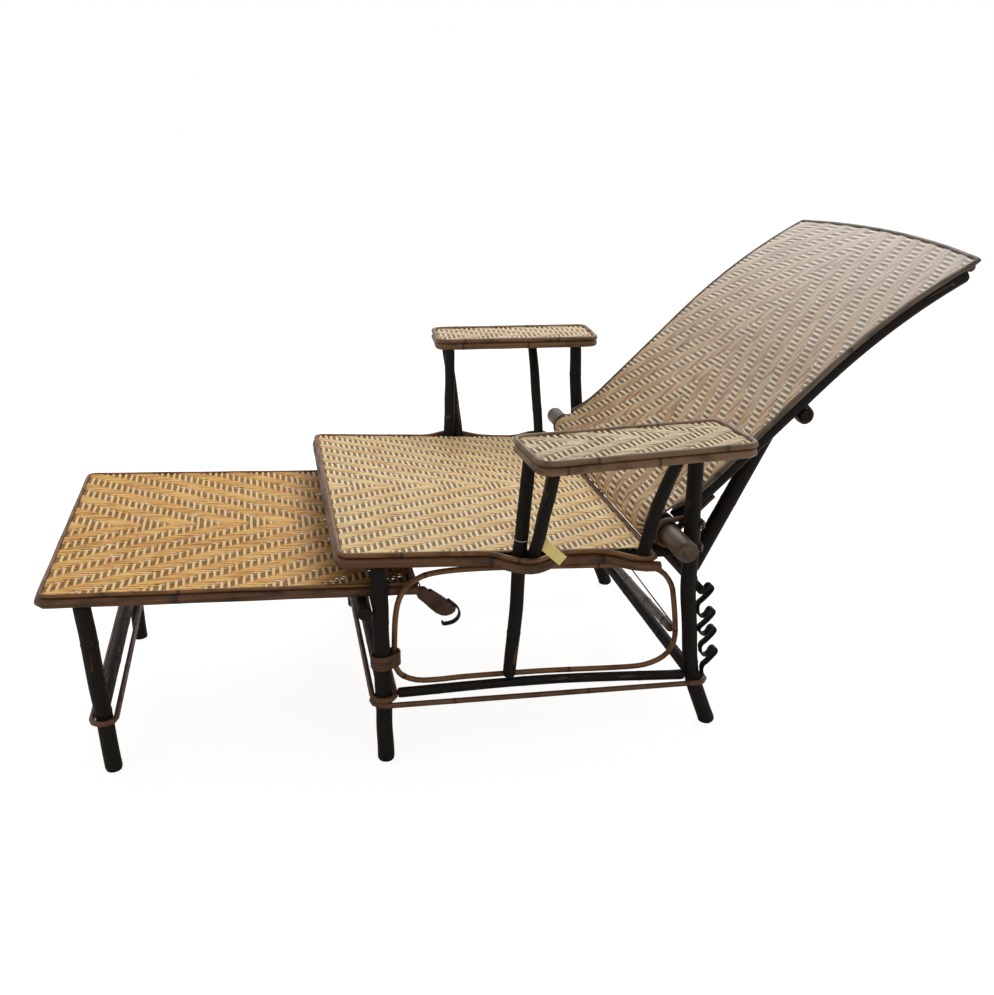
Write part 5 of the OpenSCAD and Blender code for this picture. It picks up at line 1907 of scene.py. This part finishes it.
@dataclass
class Catches:
    """The wooden tabs with their iron hooks, hung on the footrest's rear bar."""

    pin: tuple[float, float] = (120.2, 277.9)
    y: float = 243.0
    hang: float = 40.0
    tab: float = 10.6
    eye: float = 10.2
    eye_strip: tuple[float, float] = (10.0, 1.8)
    hook_strip: tuple[float, float] = (9.0, 2.8)

    def hung(self, plan: list[tuple[float, float]]) -> list[tuple[float, float]]:
        """Turns points drawn from the pin along the tab to their hanging place."""
        cos, sin = math.cos(math.radians(self.hang)), math.sin(math.radians(self.hang))
        return [(self.pin[0] + x * cos + z * sin, self.pin[1] - x * sin + z * cos) for x, z in plan]

    def build(self) -> None:
        """Makes both catches: tab, eye and hook."""
        outline = self.hung([
            (9.6, 6.0), (14.0, 9.6), (19.0, 9.8), (22.0, 8.8), (25.0, 12.2), (44.0, 13.0),
            (64.0, 12.8), (76.0, 11.0), (78.5, 6.0), (77.0, -1.0), (72.0, -8.0), (65.0, -12.0),
            (55.0, -13.6), (42.0, -12.6), (28.0, -10.6), (16.0, -9.8), (9.6, -6.0),
        ])
        iron = self.hung([
            (58.0, 14.0), (74.0, 13.4), (83.0, 11.0), (89.0, 5.0), (91.0, -3.0), (89.0, -11.0),
            (83.5, -18.0), (77.0, -23.5), (75.0, -20.0),
        ])
        bow = self.hung(arc(0.0, 0.0, self.eye, range(20, 341, 16)))
        for side in (LEFT, RIGHT):
            tail = side_name(side)
            y, body = side * self.y, f"catch_{tail[0]}"
            tab = Plate(outline, y, self.tab).build()
            finish_piece(tab, f"catch_tab_{tail}", Finish.TAB_WOOD, body, f"catch_{tail}")
            ring = Strip(bow, y, *self.eye_strip, bevel=0.4, rounds=0).build()
            finish_piece(ring, f"catch_eye_{tail}", Finish.STRAP, body, f"catch_{tail}")
            hook = Strip(iron, y, *self.hook_strip, rounds=2).build()
            finish_piece(hook, f"catch_hook_strip_{tail}", Finish.IRON, body, f"catch_hook_{tail}")


@dataclass
class Tag:
    """The blank paper tag that hangs by a thread on the near middle post."""

    length: float = 49.0
    width: float = 17.0
    thickness: float = 0.4
    thread: float = 0.9
    top: tuple[float, float, float] = (299.0, -322.0, 371.0)
    slope: float = 45.0
    curl: float = 2.4
    tip_back: float = 1.6
    cup: float = 0.5
    post: tuple[float, float, float] = (274.0, 304.0, 372.4)
    turn: float = 12.2
    sag: float = 2.2

    def build(self) -> None:
        """Curls the tag from a grid and ties its thread."""
        deselect()
        bpy.ops.mesh.primitive_grid_add(x_subdivisions=16, y_subdivisions=6, size=1.0)
        piece = bpy.context.object
        spots = vertices(piece)
        u, v = (spots[:, 0] + 0.5) * self.length, spots[:, 1] * self.width
        fall = math.radians(self.slope)
        bow = self.curl * np.sin(np.pi * u / self.length) - self.tip_back * (u / self.length) ** 2
        bow += self.cup * (2 * v / self.width) ** 2
        placed = np.column_stack([
            self.top[0] + u * math.cos(fall) + v * math.sin(fall),
            self.top[1] - bow + 0.12 * v,
            self.top[2] - u * math.sin(fall) + v * math.cos(fall),
        ])
        move_vertices(piece, to_frame(placed))
        modified(piece, "SOLIDIFY", thickness=self.thickness * MM, offset=0.0)
        finish_piece(piece, "tag_curled_paper", Finish.PAPER, "frame", "tag")
        (x, y, z), r, d = self.post, self.turn, self.thread
        knots = []
        for a in range(0, 360, 20):
            cos, sin = math.cos(math.radians(a)), math.sin(math.radians(a))
            knots.append((x + r * cos, -(y + r * sin), z - self.sag * sin, d))
        loop = Stick(knots, closed=True, seed=190, sides=6, step=4.0).build()
        knots = [(x + r, -y - 2.0, 372.0, d), (292.0, -316.0, 371.5, d), (302.5, -321.9, 367.5, d)]
        end = Stick(knots, seed=191, sides=6, step=4.0).build()
        finish_piece(joined([loop, end]), "tag_thread", Finish.THREAD, "frame", "tag_wire")


@dataclass
class Carried:
    """CAD nodes whose shape is right: they stay and get a finish."""

    finishes: dict[str, Finish] = field(default_factory=lambda: {
        "hinge_straps": Finish.STRAP, "rod_straps": Finish.STRAP, "prop_bindings": Finish.STRAP,
    })

    def build(self) -> None:
        """Dresses the nodes that stay."""
        for name, finish in self.finishes.items():
            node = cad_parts[name]
            for slot in node.material_slots:
                slot.material = finish.material()
            log.info("%s keeps its CAD shape", name)


@dataclass
class Studio:
    """Camera, floor and soft light."""

    place: tuple[float, float, float] = (-73.159, -1685.103, 972.284)
    yaw: float = -12.6262
    pitch: float = -20.68
    roll: float = 0.5
    focal_px: float = 1048.343
    width_px: float = 994.0
    sensor: float = 36.0
    lamp: tuple[float, float, float] = (0.9, 1.5, 2.1)
    aim: tuple[float, float, float] = (0.0, 0.0, 0.35)
    lamp_size: tuple[float, float] = (2.2, 1.6)
    lamp_power: float = 34.0
    room_light: float = 0.62
    floor_light: float = 1.4
    floor_share: float = 0.62

    def camera(self) -> None:
        """Sets the camera where the photograph was taken."""
        data = bpy.data.cameras.new("photo_camera")
        camera = bpy.data.objects.new("photo_camera", data)
        bpy.context.scene.collection.objects.link(camera)
        yaw, pitch, roll = (math.radians(v) for v in (self.yaw, self.pitch, self.roll))
        level = math.cos(pitch)
        ahead = Vector((-math.sin(yaw) * level, math.cos(yaw) * level, math.sin(pitch)))
        right = Vector((math.cos(yaw), math.sin(yaw), 0.0))
        up = right.cross(ahead)
        side = math.cos(roll) * right + math.sin(roll) * up
        top = -math.sin(roll) * right + math.cos(roll) * up
        turn = Matrix((side, top, -ahead)).transposed().to_4x4()
        spot = to_frame(np.array([self.place]))[0]
        camera.matrix_world = Matrix.Translation(Vector(spot)) @ turn
        data.sensor_fit = "HORIZONTAL"
        data.sensor_width = self.sensor
        data.lens = self.focal_px * self.sensor / self.width_px
        data.clip_start = 0.05
        data.clip_end = 60.0
        bpy.context.scene.camera = camera

    def floor(self) -> None:
        """Lays a pale floor that looks white to the camera and keeps the shadow."""
        deselect()
        bpy.ops.mesh.primitive_grid_add(x_subdivisions=8, y_subdivisions=8, size=40.0)
        floor = bpy.context.object
        floor.name = "studio_floor"
        material, tree, shader = new_material("pale_studio_floor")
        feed(tree, shader, {"Base Color": linear("#f2f1ee"), "Roughness": 0.9})
        inputs = {"Color": linear("#ffffff"), "Strength": self.floor_light}
        glow = add_node(tree, "ShaderNodeEmission", inputs)
        seen = add_node(tree, "ShaderNodeLightPath").outputs["Is Camera Ray"]
        inputs = {0: seen, 1: self.floor_share}
        share = add_node(tree, "ShaderNodeMath", inputs, operation="MULTIPLY")
        inputs = {0: share.outputs[0], 1: shader.outputs[0], 2: glow.outputs[0]}
        both = add_node(tree, "ShaderNodeMixShader", inputs)
        output = next(n for n in tree.nodes if n.type == "OUTPUT_MATERIAL")
        tree.links.new(both.outputs[0], output.inputs[0])
        floor.data.materials.append(material)

    def light(self) -> None:
        """Hangs one large soft lamp over a pale, even world."""
        world = bpy.data.worlds.new("pale_room")
        bpy.context.scene.world = world
        world.use_nodes = True
        tree = world.node_tree
        tree.nodes.clear()
        room, seen = (
            add_node(tree, "ShaderNodeBackground", {"Color": linear(colour), "Strength": strength})
            for colour, strength in (("#f4f5f7", self.room_light), ("#ffffff", 1.0))
        )
        path = add_node(tree, "ShaderNodeLightPath").outputs
        rays = {0: path["Is Camera Ray"], 1: path["Is Glossy Ray"]}
        share = add_node(tree, "ShaderNodeMath", rays, operation="MAXIMUM")
        inputs = {0: share.outputs[0], 1: room.outputs[0], 2: seen.outputs[0]}
        both = add_node(tree, "ShaderNodeMixShader", inputs)
        add_node(tree, "ShaderNodeOutputWorld", {0: both.outputs[0]})
        data = bpy.data.lights.new("window", "AREA")
        data.shape = "RECTANGLE"
        data.size, data.size_y = self.lamp_size
        data.energy = self.lamp_power
        lamp = bpy.data.objects.new("window", data)
        bpy.context.scene.collection.objects.link(lamp)
        spot = Vector(self.lamp)
        turn = (Vector(self.aim) - spot).to_track_quat("-Z", "Y").to_matrix().to_4x4()
        lamp.matrix_world = Matrix.Translation(spot) @ turn

    def build(self) -> None:
        """Sets the whole studio."""
        self.camera()
        self.floor()
        self.light()
        bpy.context.scene.view_settings.view_transform = "Standard"


def main() -> None:
    """Builds the chair, sub-assembly by sub-assembly, and its studio."""
    logging.basicConfig(level=logging.INFO, format="%(name)s: %(message)s")
    for part in (
        Studio(), Seat(), Legs(), Arms(), Hinge(), Racks(), Back(), Prop(), Footrest(),
        Catches(), Tag(), Carried(),
    ):
        part.build()
        log.info("%s built", type(part).__name__)


if __name__ == "__main__":
    main()
